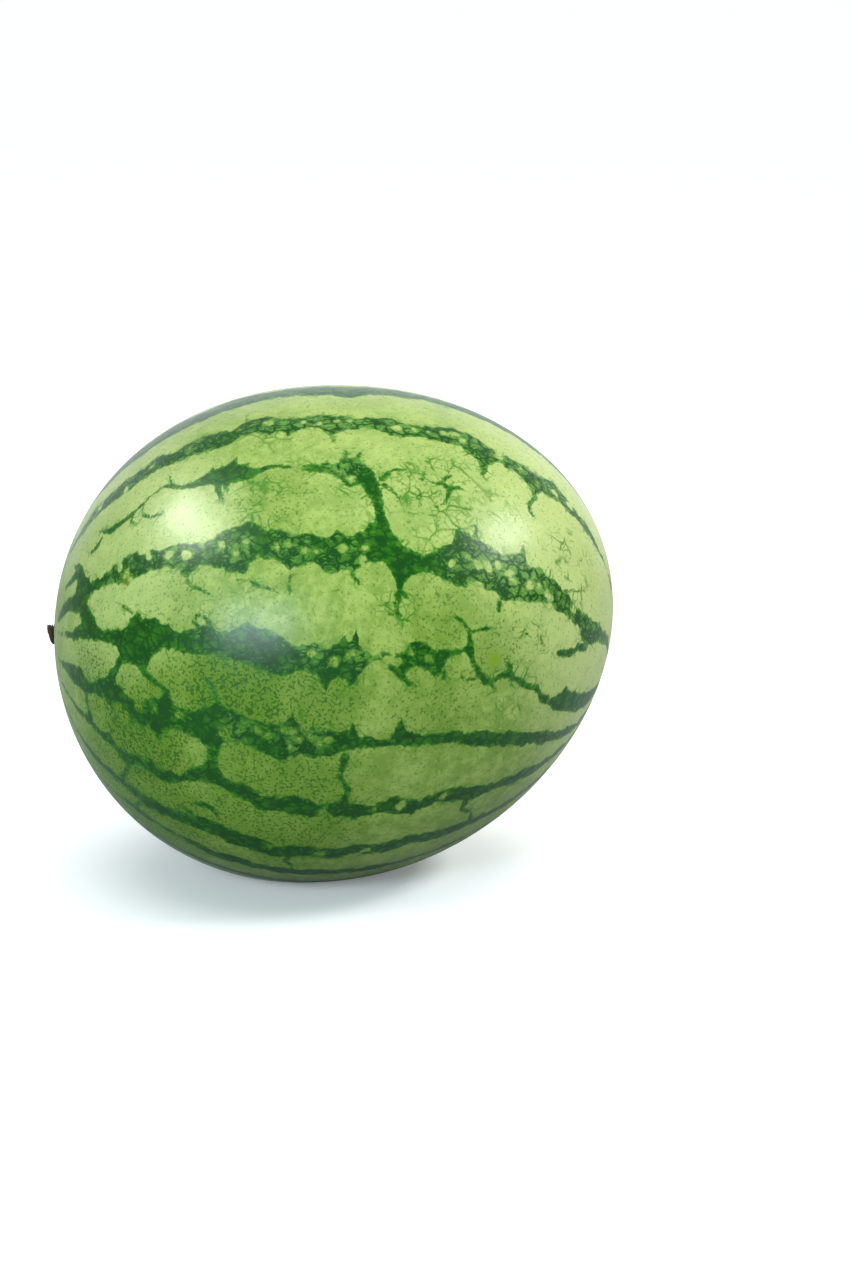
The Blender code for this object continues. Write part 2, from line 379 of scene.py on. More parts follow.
MAIN = Stripe(
    "main",
    lower=[
        (31, 27), (34, 26.5), (36, 28.3), (38, 29.3), (40, 30), (42, 29.8), (44, 28.7), (46, 28.5),
        (47.5, 27.5),
        (49, 28.7), (51, 29.5), (54, 30.2), (57, 30.2), (59.5, 29.8), (61, 28), (62, 25.5),
        (63.3, 28.3),
        (65, 29.3), (67, 29), (69, 28.7), (70.5, 27.8), (72, 27), (73.6, 26.2), (74.8, 27),
        (75.3, 28.8),
        (77, 30), (79, 29.8), (81, 29), (82, 28), (83, 26.3), (84, 27.5), (87, 28), (88.5, 27.5),
        (90, 25.8),
        (91, 25.5), (93, 26.2), (95, 25.8), (97, 27), (99, 27.8), (101, 28), (102, 27), (103, 24),
        (103.6, 20.5), (104.3, 20.5), (105, 23), (106.5, 24.5), (108, 25), (110, 25.3), (112, 24.2),
        (113.5, 22.8), (115, 22.5), (117.5, 21.8), (119, 22.8), (120.5, 23), (122, 21.5), (123.5, 20.2),
        (125, 19), (126.5, 17.2), (128, 17.5), (130, 18), (132, 17.3), (134, 17), (136, 16.8),
        (138, 16.3),
        (139.5, 15.8), (141, 13.8), (143, 12.2), (145, 10.3), (147, 7.8), (148.5, 6), (149.5, 3),
        (150, -1),
        (151, -4.5), (153, -6), (155, -6.5), (157, -8), (160, -13), (164, -22),
    ],
    upper=[
        (31, 37), (33, 36), (35, 34.3), (37, 33.5), (40, 33.7), (42, 34), (43.5, 35.3), (45, 35),
        (46, 36.5),
        (50, 36.6), (52, 36), (54, 36.3), (57, 35.6), (60, 36), (63, 35.6), (66, 35.3), (68, 36.3),
        (70, 37),
        (72, 37.3), (74, 38.3), (75.2, 39), (76.5, 37.7), (78, 37.2), (80, 36.3), (82, 36), (84, 35.3),
        (86, 35), (88, 34.2), (90, 34), (92, 35.2), (94, 34.3), (96, 34.8), (98, 35.3), (101.5, 35),
        (102, 33.5), (104, 32.5), (106, 30.8), (108, 30.3), (110, 30.2), (112, 30.8), (113, 32),
        (114.5, 33.3),
        (116, 36.8), (117, 35.5), (118, 36.2), (119, 35), (120.5, 34.3), (122, 33.3), (124, 32),
        (126, 31),
        (128, 31.5), (130, 32), (131.2, 33), (132, 30.3), (133.5, 28.7), (135, 28.5), (136.5, 27.8),
        (138, 26.3), (140, 24.7), (142, 22.8), (144, 20.8), (146, 18), (148, 15), (150, 12.2),
        (152, 10),
        (154, 8), (156, 6), (158, 4), (160, 1), (163, -7), (166, -17),
    ],
    streaks=[
        [
            (30.3, 40.5, 1.5), (30.5, 38, 2.0), (30.8, 35.5, 2.5), (31, 33, 3.0), (31.5, 30, 3.0),
            (31.8, 27, 2.6),
            (32, 24.5, 2.3), (32.7, 22, 2.3), (33.7, 19.5, 2.8), (35, 17, 2.8),
        ],
        [
            (16, 25, 0.9), (19.5, 26.8, 1.4), (22, 28.3, 1.6), (24.5, 29, 1.8), (27, 28, 2.0),
            (30, 27, 2.5),
        ],
        [(62.2, 26.5, 0.8), (63, 25, 0.4), (64.5, 24.2, 0.3), (66.5, 23, 0.3), (68.5, 21.5, 0.2)],
        [(72.5, 25.5, 0.4), (75.3, 25, 0.3), (77.5, 23.5, 0.4), (80, 22.7, 0.4), (81, 21.8, 0.2)],
        [(83.5, 26, 0.7), (82.7, 24, 0.5), (83.2, 21.8, 0.4)],
        [(94.7, 25.5, 0.6), (96.2, 23.3, 0.4)],
        [(104, 21, 0.9), (103.5, 18.5, 0.7), (103.7, 16.5, 0.6), (104.8, 14.8, 0.4)],
        [(103.5, 18.5, 0.6), (101.5, 18.5, 0.5), (100, 18, 0.4)],
        [(102.2, 18, 0.4), (102, 16.2, 0.5), (103.7, 16.4, 0.5)],
        [(105.5, 19.8, 0.5), (104, 21, 0.6)],
        [(125.3, 17.5, 0.7), (125, 15, 0.4)],
        [
            (152, -5, 1.6), (150, -4.5, 1.0), (148.5, -3.2, 0.9), (147.5, -4, 0.7), (145.5, -4, 1.0),
            (144, -3, 0.8), (142.5, -2.3, 0.8), (141, -1.5, 0.5),
        ],
        [(143, 20.5, 0.8), (145, 21.2, 0.6), (147, 22.3, 0.4)],
        [(131, 31, 0.9), (131.2, 34.7, 0.4)],
        [(116, 35, 1.0), (116.1, 37.5, 0.4)],
        [(119.8, 34, 0.9), (119.9, 38, 0.4)],
    ],
    islands=[
        (72.3, 31.3, 0.7), (74.6, 33.8, 0.6), (80.5, 32.4, 0.7), (82.3, 32.5, 0.6), (86.2, 31, 0.6),
        (87.8, 30.9, 0.5), (93, 31.2, 0.7), (97.3, 31, 0.6), (96.5, 28.7, 0.4), (114.5, 27.3, 0.4),
        (117.8, 29.7, 0.5), (120.3, 27.7, 0.9), (122.7, 27, 0.9), (125, 28, 0.6), (127.8, 25.5, 0.8),
        (129, 23.8, 0.6), (132.8, 22.8, 0.7), (135.3, 22.3, 0.7), (134, 24.9, 0.4), (137.5, 20.5, 0.6),
        (138.7, 18.7, 0.5), (147, 13.5, 0.5), (46.8, 31.2, 0.7), (48, 29.2, 0.5), (45, 33.3, 0.5),
        (58, 33.5, 0.9), (62, 33, 0.8), (53, 34, 0.6), (66, 33, 0.6), (69.5, 33.7, 0.5),
    ],
)

BELT = Stripe(
    "belt",
    lower=[
        (12, 13), (18, 12.6), (22, 12.2), (24, 11), (26, 10.6), (28, 11), (30, 11.2), (32, 12),
        (36, 11.8),
        (40, 11.5), (42, 11), (43.5, 9.7), (45, 8.5), (45.7, 6), (46.5, 4.8), (48.5, 5), (50.5, 4.8),
        (52, 3.2), (53, 5), (53.5, 7.5), (55, 9.3), (57, 10.2), (59, 9.8), (61, 8.8), (63, 8.6),
        (65, 9),
        (68, 8.9), (70, 8), (72, 7.7), (74, 7.2), (76, 5.7), (78, 5.2), (80, 4.8), (81, 4), (82.5, 4.5),
        (84, 5), (86, 5), (88, 4.6), (89.5, 2.5), (90, 0.5), (90.7, 2.5), (92, 3.8), (93.5, 3.3),
        (94.5, 1),
        (95.5, 1.5), (96.5, 3.5), (98, 5.8), (99.5, 6), (101, 5), (102.5, 3.5), (104, 2.2),
        (105.5, 2.8),
        (107, 3.5), (109, 3), (111, 1.8), (112.3, 1), (113, 3), (114, 5), (116, 5.3), (117.5, 4.8),
        (118.5, 3.5), (119.5, 3),
    ],
    upper=[
        (12, 14.5), (18, 15), (22, 15.2), (25, 15.5), (27, 15.8), (29, 16.5), (31, 18), (33, 20),
        (35.5, 20),
        (37, 18.8), (38.5, 16.8), (40, 15.7), (42, 15.5), (45, 15.6), (47, 16), (48, 17.5),
        (49.3, 18.8),
        (50.3, 20.3), (51.2, 19), (53, 17.7), (55, 17.6), (56.5, 16.5), (58.5, 16), (60, 14.8),
        (62, 14.5),
        (64, 14.8), (66, 15.3), (67.3, 15.5), (68.5, 14), (70, 13.8), (71.5, 14.5), (73, 15.2),
        (75, 16),
        (77, 15), (79, 13.8), (81, 12.7), (82.5, 11.8), (84, 10.6), (86, 11.3), (88, 10.8), (90, 9.8),
        (92, 10.3), (93.7, 12.3), (94.7, 10.3), (95.8, 13.5), (96.5, 9.5), (98, 8), (99.5, 7.6),
        (101.5, 8),
        (103, 7.5), (104.5, 8.2), (106, 9), (107.3, 10.3), (108.5, 9.3), (110, 8), (111.5, 7),
        (113, 7.6),
        (115, 6.7), (117, 7), (118.5, 8), (119.5, 4),
    ],
    streaks=[
        [
            (118.5, 7, 1.0), (118.8, 4.5, 0.9), (119.3, 2.5, 0.8), (120.3, 0.5, 0.9),
            (121.3, -1.5, 0.9),
            (122, -3, 1.1), (123.5, -3.5, 0.9), (125, -2.7, 0.7), (126.5, -2.6, 0.9),
            (127.6, -2.8, 1.3),
            (129, -4.5, 0.8), (130.5, -6.3, 1.0), (131.5, -7.5, 1.0), (133, -9.3, 0.8),
            (134.7, -10.7, 1.0),
            (135.5, -12.5, 0.8), (136.3, -14.8, 1.2), (137.5, -17, 1.2), (139, -19, 1.0),
            (141, -21.5, 1.8),
            (143.5, -23, 2.8), (146, -27, 2.6), (149, -33, 2.4), (153, -41, 2.2), (158, -52, 1.8),
            (162, -66, 1.0),
        ],
        [(127.6, -2.8, 1.1), (127.8, -0.8, 0.9), (127.2, 0.5, 0.4)],
        [(122.5, -3.2, 0.8), (123.3, -4.5, 0.6), (124.3, -6.5, 0.4)],
        [(143.5, -21.5, 1.8), (144.2, -18.5, 1.0), (144.2, -17, 0.4)],
        [
            (118.3, 7, 1.1), (118.5, 9, 0.7), (118.2, 11, 0.6), (117.3, 12.8, 0.4), (115.8, 14.3, 0.4),
            (113.8, 14.8, 0.2),
        ],
        [(118.8, 10.7, 0.4), (121, 10.9, 0.4), (123, 11, 0.3), (124.8, 10.7, 0.2)],
        [(120.5, 0, 0.6), (119.8, -1.3, 0.6), (118.3, -1.6, 0.6), (117, -0.7, 0.5), (116.8, 0.3, 0.4)],
        [(113, 2, 0.7), (113, 0, 0.5)],
        [(104.3, 2.5, 0.9), (105.5, 0.5, 0.7), (107, -0.5, 0.4)],
        [(65, 15.5, 0.5), (63.7, 16.3, 0.5), (64.5, 18, 0.5), (66.3, 17.4, 0.5), (67.3, 15.8, 0.6)],
        [(45.5, 6, 1.2), (44.3, 3.5, 0.9), (43.3, 1.5, 1.3), (42.5, -1, 2.0)],
        [
            (51.5, 5, 1.3), (52.2, 3.3, 0.9), (54, 2, 0.8), (56, 0.7, 0.8), (57.5, -0.5, 0.9),
            (58, -2, 0.9),
            (57.5, -4, 1.5),
        ],
        [(66.5, 3.5, 0.6), (67.8, 1.5, 0.7), (68.3, -0.5, 0.7), (69, -2.5, 0.9)],
        [(43.5, 23.5, 0.2), (45.5, 22.5, 0.3), (47.3, 21, 0.4), (48.8, 19.5, 0.6)],
        [(131, 8.5, 0.2), (132.5, 7.5, 0.3), (134.3, 5.8, 0.3), (136, 3.8, 0.3), (137.5, 2.2, 0.2)],
    ],
    islands=[
        (98, 6.9, 0.6), (102, 6.3, 0.8), (103.7, 5.4, 0.7), (91.5, 6.7, 0.6), (87.5, 8.7, 0.7),
        (95, 8, 0.6),
        (106.3, 7, 0.6), (110, 5.5, 0.5),
    ],
)

FRONT = Stripe(
    "front",
    lower=[
        (12, -5.5), (17, -6), (20, -6.5), (24, -7.3), (27, -8.5), (30, -10), (32, -9.7), (33.5, -10.5),
        (34.5, -8.8), (37, -8.3), (40, -8.2), (42, -9.3), (43.5, -8.3), (45.5, -7.8), (47, -8.7),
        (48.2, -11.3),
        (49.5, -10.7), (51, -11.7), (53, -11.3), (54, -13), (55.5, -12.8), (57, -11), (59, -10.2),
        (62, -10.3),
        (64, -11.5), (65.8, -13.5), (68.7, -14), (69.3, -12), (70.5, -10.6), (73, -11.5), (75, -12.3),
        (77, -13), (79, -14), (81, -15), (83, -14.6), (85, -14.2), (88, -14.8), (90, -14.8),
        (93, -13.8),
        (97, -13.5), (100, -13.8), (103, -14.5), (106, -14.8), (110, -15.5), (115, -17.5), (120, -21),
        (126, -25), (132, -30), (138, -37), (144, -46), (150, -56),
    ],
    upper=[
        (12, -4), (17, -3.3), (20, -2.5), (23, -1.3), (26, -0.3), (28, 0), (30, -0.3), (31.7, -1.3),
        (33, -2.3),
        (35, -3.2), (37, -2.6), (38.5, -1.2), (40, -0.7), (41.5, 0), (42.5, 1), (43.3, 3), (44, 1.5),
        (44.3, -0.8), (45.5, -1.7), (46.8, -3), (48.5, -4), (50, -4.5), (52, -4), (54, -3.2),
        (55.5, -2.5),
        (56.8, -1.5), (57.3, 0), (58, -1.8), (59.5, -3.3), (61.5, -4), (64, -4.2), (66, -3.8),
        (67.5, -2.8),
        (68.6, -1), (69.5, -2.5), (71, -3), (73, -3.7), (75, -4.8), (77, -5.8), (79, -6.4), (81, -6.3),
        (82.3, -5.7), (83.3, -4.3), (84.5, -5.6), (86, -5.8), (87, -7.3), (89, -8.2), (91, -8.6),
        (93, -9.3),
        (94.3, -8.7), (95.3, -7), (96, -10), (98, -11), (100, -11.6), (102, -12), (103.3, -10.5),
        (104.2, -6.5),
        (105, -10.3), (107, -12), (110, -12.5), (115, -14), (120, -16), (126, -20), (132, -24.5),
        (138, -31),
        (144, -40), (150, -51),
    ],
    streaks=[
        [(67.7, -12, 1.9), (67.5, -15, 1.5), (67.3, -17.5, 1.6), (66, -20, 2.2), (64, -21, 1.8)],
        [(33.3, -10, 1.0), (33.3, -13, 0.7), (34, -16, 0.9), (34.3, -19, 1.5)],
        [(48.3, -11.3, 0.9), (47.5, -12.8, 0.4)],
        [(54.7, -12.5, 0.9), (55.3, -14, 0.4)],
        [(43, -9.2, 0.8), (41.8, -10.5, 0.4)],
    ],
    islands=[
        (50.3, -6, 0.6), (54.5, -6, 0.7), (60.5, -6, 0.6), (70.2, -9.3, 0.9), (71, -8.3, 0.7),
        (73.5, -7.5, 0.6),
        (76.5, -7.5, 0.7), (79, -9.5, 0.6), (81.5, -8.3, 0.7), (83.5, -8.5, 0.8), (86, -7.8, 0.8),
        (87, -9.5, 0.7), (85, -10.5, 0.6), (88.5, -11.5, 0.6), (83, -12, 0.6), (90, -10.7, 0.7),
    ],
)

KNEE = Stripe(
    "knee",
    lower=[
        (16, -20), (22, -20.7), (28, -21.8), (31, -22.3), (34, -23.3), (37, -23.3), (40, -23.7),
        (42, -24.3),
        (44, -26), (46, -27.7), (47.5, -27.2), (49, -25.6), (51, -25.5), (53, -26), (55.5, -26.8),
        (58, -26.3),
        (60, -25.6), (62, -24.4), (64, -23.5), (66, -23.3), (69, -24), (74, -27), (77, -29.5),
        (80, -29),
        (85, -31.5), (90, -31), (95, -33.5), (100, -32.5), (106, -35.5), (112, -35), (118, -39.5),
        (124, -41),
        (130, -46), (140, -54), (150, -66),
    ],
    upper=[
        (16, -19), (22, -19.3), (28, -19.8), (31, -19.6), (33.5, -18), (35.5, -19), (38, -20.2),
        (40, -20),
        (42, -20.7), (44, -22), (46.5, -22.2), (49, -22.5), (51, -21.7), (54, -21.6), (57, -22.4),
        (60, -22.6),
        (62, -20.3), (64, -18.7), (66, -17.3), (68.5, -18), (70, -20.5), (74, -22), (77, -24.5),
        (80, -25),
        (84, -24), (88, -27.5), (93, -27), (98, -29.5), (103, -28), (108, -31.5), (114, -31),
        (120, -35),
        (130, -40.5), (140, -49), (150, -61),
    ],
    streaks=[
        [(46.5, -27, 1.0), (45.8, -30, 0.7), (45, -33, 0.8), (44, -35.5, 1.2)],
        [(63, -31, 0.8), (65, -30.5, 1.1), (66.5, -31, 1.0), (68, -34, 0.7)],
        [(60.5, -33.5, 0.8), (62, -35.5, 1.0)],
        [(93, -27.5, 1.4), (94, -24, 0.9), (92.5, -20, 0.8), (93.5, -15, 1.1)],
        [(118, -38, 1.4), (117, -42, 0.8), (119, -46, 0.6), (119, -51, 1.0)],
    ],
    islands=[(89, -29.5, 0.8), (99, -31, 0.8), (104, -32, 0.9), (113, -33.5, 0.8)],
)

HEM = Stripe(
    "hem",
    lower=[
        (14, -38), (18, -38.4), (24, -39), (30, -40), (36, -40.3), (42, -39.8), (46, -40.3),
        (50, -42.3),
        (53, -42.5), (56, -41.3), (59, -40.5), (62, -40.8), (65, -41), (68, -42), (72, -44), (76, -45),
        (80, -47.5), (84, -46), (90, -48.5), (95, -47.5), (100, -50), (106, -49), (112, -52.5),
        (120, -54.5),
        (130, -60), (140, -67), (150, -76),
    ],
    upper=[
        (14, -37), (18, -36.8), (24, -36.5), (30, -36.5), (36, -36), (42, -35.8), (44, -35),
        (46, -35.8),
        (50, -35.8), (55, -35.8), (59, -35.6), (62, -35), (65, -35.5), (68, -36), (72, -38),
        (76, -38.5),
        (80, -42), (85, -41), (90, -43.5), (96, -43), (100, -45), (106, -44), (112, -47.5),
        (120, -50.5),
        (130, -56), (140, -63), (150, -73),
    ],
    streaks=[
        [(49, -41.5, 1.0), (48, -44, 0.9), (47.3, -46.5, 1.0)],
        [(82, -45, 1.2), (81, -49, 0.7), (82.5, -52, 0.6), (82, -55, 1.0)],
    ],
    islands=[(78, -42, 0.8), (88, -45, 0.8), (97, -46.5, 0.9)],
)

SKIRT = Stripe(
    "skirt",
    lower=[
        (16, -53), (24, -53), (30, -53), (38, -52.5), (42, -51), (46, -49.7), (50, -50.2), (54, -49.9),
        (58, -50),
        (62, -51.3), (65, -53.5), (68, -54), (72, -54.5), (80, -57), (90, -59), (100, -60.5),
        (110, -62),
        (120, -65), (130, -69), (140, -75),
    ],
    upper=[
        (16, -52), (24, -51.5), (30, -51), (38, -50.5), (42, -48.3), (45, -46.5), (48, -46.6),
        (52, -47.2),
        (56, -47.2), (60, -47.5), (63, -48.2), (66, -49.5), (69, -49), (72, -50), (80, -53), (90, -55),
        (100, -57), (110, -59.5), (120, -63), (130, -67.5), (140, -74),
    ],
)

SOLE = Stripe(
    "sole",
    lower=[
        (20, -66), (40, -64), (52, -62), (60, -62.5), (68, -63.5), (76, -66), (86, -69), (100, -71),
        (130, -77), (146, -84),
    ],
    upper=[
        (20, -65), (40, -61.5), (52, -59.5), (60, -59.3), (68, -60), (76, -62), (86, -65.5), (100, -68),
        (130, -75), (146, -82),
    ],
)

STRIPES = [SHOULDER, CROWN, BROKEN, MAIN, BELT, FRONT, KNEE, HEM, SKIRT, SOLE]

ECHOES = [
    Echo("belt", 8, 112, True, 9),
    Echo("crown", 66, 132, False, -8),
    Echo("broken", 50, 146, True, 5),
    Echo("main", 30, 155, False, 6),
    Echo("front", -8, 176, True, -5),
    Echo("belt", 8, 196, False, 12),
    Echo("main", 30, 218, True, -7),
    Echo("knee", -25, 238, False, 8),
    Echo("hem", -42, 258, True, -6),
    Echo("skirt", -52, 278, True, 7),
]

# Soft patches of the rind's finer growth, and of painted light and shade, each a place, a radius and a
# strength. Where it is `open`, the stripes are a loose net of veins. Where there is `crack`, fine veins
# run through the light ground, and with `fleck` it is thick with dark flecks and a richer, darker green;
# its broad patches low on the front are painted shade. `pale` makes the ground lighter: at the far end
# that is the rind's own paler tint, and on the upper left and the upper right it is painted light where
# the windows fall.
PATCHES = {
    "open": [
        (90, 67, 10, 0.9), (103, 66, 6, 0.8), (114, 67, 6, 0.7), (64, 66, 6, 0.6), (128, 65, 7, 0.6),
        (145, 63, 9, 0.8), (45, 33, 6, 0.5), (58, 33, 8, 0.6), (72, 33, 5, 0.6), (83, 32, 5, 0.5),
        (93, 30, 6, 0.4), (118, 28, 6, 0.6), (132, 23, 8, 1.0), (142, 19, 6, 0.7), (150, 10, 8, 0.5),
        (158, -4, 10, 0.7), (98, 7, 5, 0.6), (88, 8, 4, 0.4), (72, -8, 4, 0.4), (86, -10, 5, 0.4),
        (77, 68, 8, 0.8), (50, 66, 8, 0.6), (122, 65, 7, 0.8), (136, 62, 8, 0.9), (30, 66, 9, 0.5),
        (125, 27, 7, 0.8),
        (93, 52, 4, 0.7), (94, 85, 20, 0.4), (100, 170, 30, 0.5), (60, 215, 25, 0.5),
    ],
    "crack": [
        (112, 48, 9, 0.75), (78, 44, 7, 0.4), (95, 43, 5, 0.4), (108, 35, 6, 0.4), (122, 48, 8, 0.3),
        (80, 60, 8, 0.3), (118, 57, 6, 0.3), (103, 17, 6, 0.3), (133, 5, 6, 0.35), (146, 32, 9, 0.45),
        (70, 20, 6, 0.3), (90, -2, 7, 0.3), (128, -8, 8, 0.4), (80, 145, 14, 0.5), (115, 200, 16, 0.5),
    ],
    # The two broad patches lowest on the front are painted shade that darkens the ground there; the rest
    # are the rind's own flecked, richer patches.
    "fleck": [
        (72, 1, 14, 1.0), (58, -3, 10, 0.7), (50, -17, 15, 1.0), (88, -2, 11, 0.7), (110, -5, 12, 0.4),
        (36, -3, 9, 0.7), (80, 44, 9, 0.35), (110, 46, 10, 0.2), (60, 22, 8, 0.2), (112, 15, 9, 0.35),
        (125, 5, 8, 0.4), (35, 5, 10, 0.35),
        (50, -38, 24, 0.8), (80, -30, 22, 0.7), (100, 165, 40, 0.5), (70, 215, 40, 0.7),
    ],
    # The patches on the upper left and the upper right are painted light where the windows fall; the one
    # at the far end is the rind's own paler tint.
    "pale": [
        (176, 30, 62, 0.7), (120, 60, 36, 0.25), (46, 46, 30, 0.4), (100, 105, 50, 0.3),
    ],
    "ground_spot": [(98, -125, 24, 1.0)],
    "bruise": [(124, 2.3, 1.7, 1.0), (26, 20, 2.6, 0.5), (47, 29.5, 1.6, 0.5)],
}


@dataclass
class RindPattern:
    """Lays the stripes and the finer growth over a set of points on the rind.

    Attributes:
        growth: The fruit's form.
        along: Each point's degrees from the stem, along the stripes.
        across: Each point's degrees around, across the stripes.
        deepest: How far from an edge, in millimetres, a point's depth still counts.
        stem_reach: A stripe that starts before this runs on to the stem.
        blossom_reach: A stripe that ends after this runs on to the blossom's scar.
        first_along: Where the stripes fade out at the stem.
        last_along: Where the stripes fade out at the blossom's scar.
        streak_share: How much of its stated width a streak keeps.
        streak_pinch: The degrees that every streak then loses, which thins the fine ones most.
        patch_fade: The shares of a patch's radius that it fades out between.
    """

    growth: Growth
    along: np.ndarray
    across: np.ndarray
    deepest: float = 12.0
    stem_reach: float = 25.0
    blossom_reach: float = 135.0
    first_along: float = 4.5
    last_along: float = 177.0
    streak_share: float = 0.9
    streak_pinch: float = 0.16
    patch_fade: Point = (0.45, 1.25)

    def __post_init__(self) -> None:
        """Works out how many millimetres a degree is at each point."""
        self.along_scale = self.growth.half_length * 1000.0 * pi / 180.0
        girth = self.growth.section_radius(-np.cos(np.radians(self.along)))
        self.across_scale = girth * 1000.0 * pi / 180.0
        self.depth = np.full(self.along.shape, -self.deepest)
        self.streak = np.full(self.along.shape, -self.deepest)

    def named(self, places: list[tuple[float, ...]]) -> np.ndarray:
        """The same places named along the stripes, with any widths kept.

        Args:
            places: Rows of degrees from the stem, degrees around and perhaps a width.

        Returns:
            An array of the same shape.
        """
        rows = np.array(places, dtype=float)
        rows[:, 0], rows[:, 1] = self.growth.stripe_angles(rows[:, 0], rows[:, 1])
        return rows

    def distance(self, along: float, across: float) -> np.ndarray:
        """Millimetres from every point to one place."""
        aside = turned_near(self.across, across) - across
        return np.hypot((self.along - along) * self.along_scale, aside * self.across_scale)

    def add_band(self, lower: np.ndarray, upper: np.ndarray) -> None:
        """Darkens the rind between two edges.

        Args:
            lower: The lower edge's places, named along the stripes.
            upper: The upper edge's places, named along the stripes.
        """
        home = float(np.mean(lower[:, 1]))
        across = turned_near(self.across, home)
        low = np.interp(self.along, np.maximum.accumulate(lower[:, 0]), turned_near(lower[:, 1], home))
        high = np.interp(self.along, np.maximum.accumulate(upper[:, 0]), turned_near(upper[:, 1], home))
        inside = np.minimum(high - across, across - low) * self.across_scale
        start = lower[0, 0] if lower[0, 0] > self.stem_reach else self.first_along
        end = lower[-1, 0] if lower[-1, 0] < self.blossom_reach else self.last_along
        past_end = np.maximum(start - self.along, self.along - end) * self.along_scale
        self.depth = np.maximum(self.depth, np.minimum(inside, -past_end))

    def add_streak(self, knots: np.ndarray) -> None:
        """Darkens the rind along a line of places, to the half width given at each.

        Args:
            knots: Places in rind degrees, each with a half width.
        """
        for start, end in zip(knots[:-1], knots[1:]):
            aside = (turned_near(self.across, start[1]) - start[1]) * self.across_scale
            ahead = (self.along - start[0]) * self.along_scale
            run = (end[0] - start[0]) * self.along_scale
            rise = (turned_near(end[1], start[1]) - start[1]) * self.across_scale
            share = np.clip((ahead * run + aside * rise) / (run * run + rise * rise), 0.0, 1.0)
            half_width = start[2] + (end[2] - start[2]) * share
            width = (half_width * self.streak_share - self.streak_pinch) * self.along_scale
            gap = np.hypot(ahead - share * run, aside - share * rise)
            self.streak = np.maximum(self.streak, width - gap)

    def add_stripe(self, stripe: Stripe) -> None:
        """Adds one stripe where it lies.

        Args:
            stripe: The stripe to lay on the rind.
        """
        if stripe.lower:
            self.add_band(self.named(stripe.lower), self.named(stripe.upper))
        for streak in stripe.streaks:
            self.add_streak(self.named(streak))

    def add_echo(self, echo: Echo, source: Stripe) -> list[np.ndarray]:
        """Adds a stripe on the hidden side.

        Args:
            echo: Where it lies and how it is turned.
            source: The stripe that it grows like.

        Returns:
            The places of its light islands, named along the stripes.
        """

        def carried(places: list[tuple[float, ...]]) -> np.ndarray:
            """Places of the source, carried round the fruit."""
            rows = self.named(places)
            side = -1.0 if echo.flipped else 1.0
            rows[:, 1] = echo.target + side * (rows[:, 1] - echo.home)
            rows[:, 0] += echo.slide * np.sin(np.radians(rows[:, 0]))
            return rows

        if source.lower:
            edges = [carried(source.lower), carried(source.upper)]
            if echo.flipped:
                edges.reverse()
            self.add_band(*edges)
        for streak in source.streaks:
            self.add_streak(carried(streak))
        return [carried([island])[0] for island in source.islands]

    def grow(self) -> None:
        """Adds every stripe, then every light island."""
        by_name = {stripe.name: stripe for stripe in STRIPES}
        islands: list[np.ndarray] = []
        for stripe in STRIPES:
            self.add_stripe(stripe)
            islands += [self.named([island])[0] for island in stripe.islands]
        for echo in ECHOES:
            islands += self.add_echo(echo, by_name[echo.source])
        for along, across, radius in islands:
            edge = self.distance(along, across) - radius * self.along_scale
            self.depth = np.minimum(self.depth, edge)
            self.streak = np.minimum(self.streak, edge)
        self.depth = np.clip(self.depth, -self.deepest, self.deepest)
        self.streak = np.clip(self.streak, -self.deepest, self.deepest)

    def patches(self, spots: list[tuple[float, float, float, float]]) -> np.ndarray:
        """How strongly a set of soft patches covers each point.

        Args:
            spots: Rows of a place, a radius in degrees and a strength.

        Returns:
            A share from 0 to 1 at each point.
        """
        cover = np.zeros_like(self.along)
        for polar, around, radius, strength in spots:
            along, across = self.named([(polar, around)])[0]
            away = self.distance(along, across) / (radius * self.along_scale)
            cover = np.maximum(cover, strength * (1.0 - smooth_step(*self.patch_fade, away)))
        return cover


# --------------------------------------------------------------------------------------------------
# Node trees
# --------------------------------------------------------------------------------------------------

Socket = bpy.types.NodeSocket
Feed = Socket | float | Colour | Point | Knot


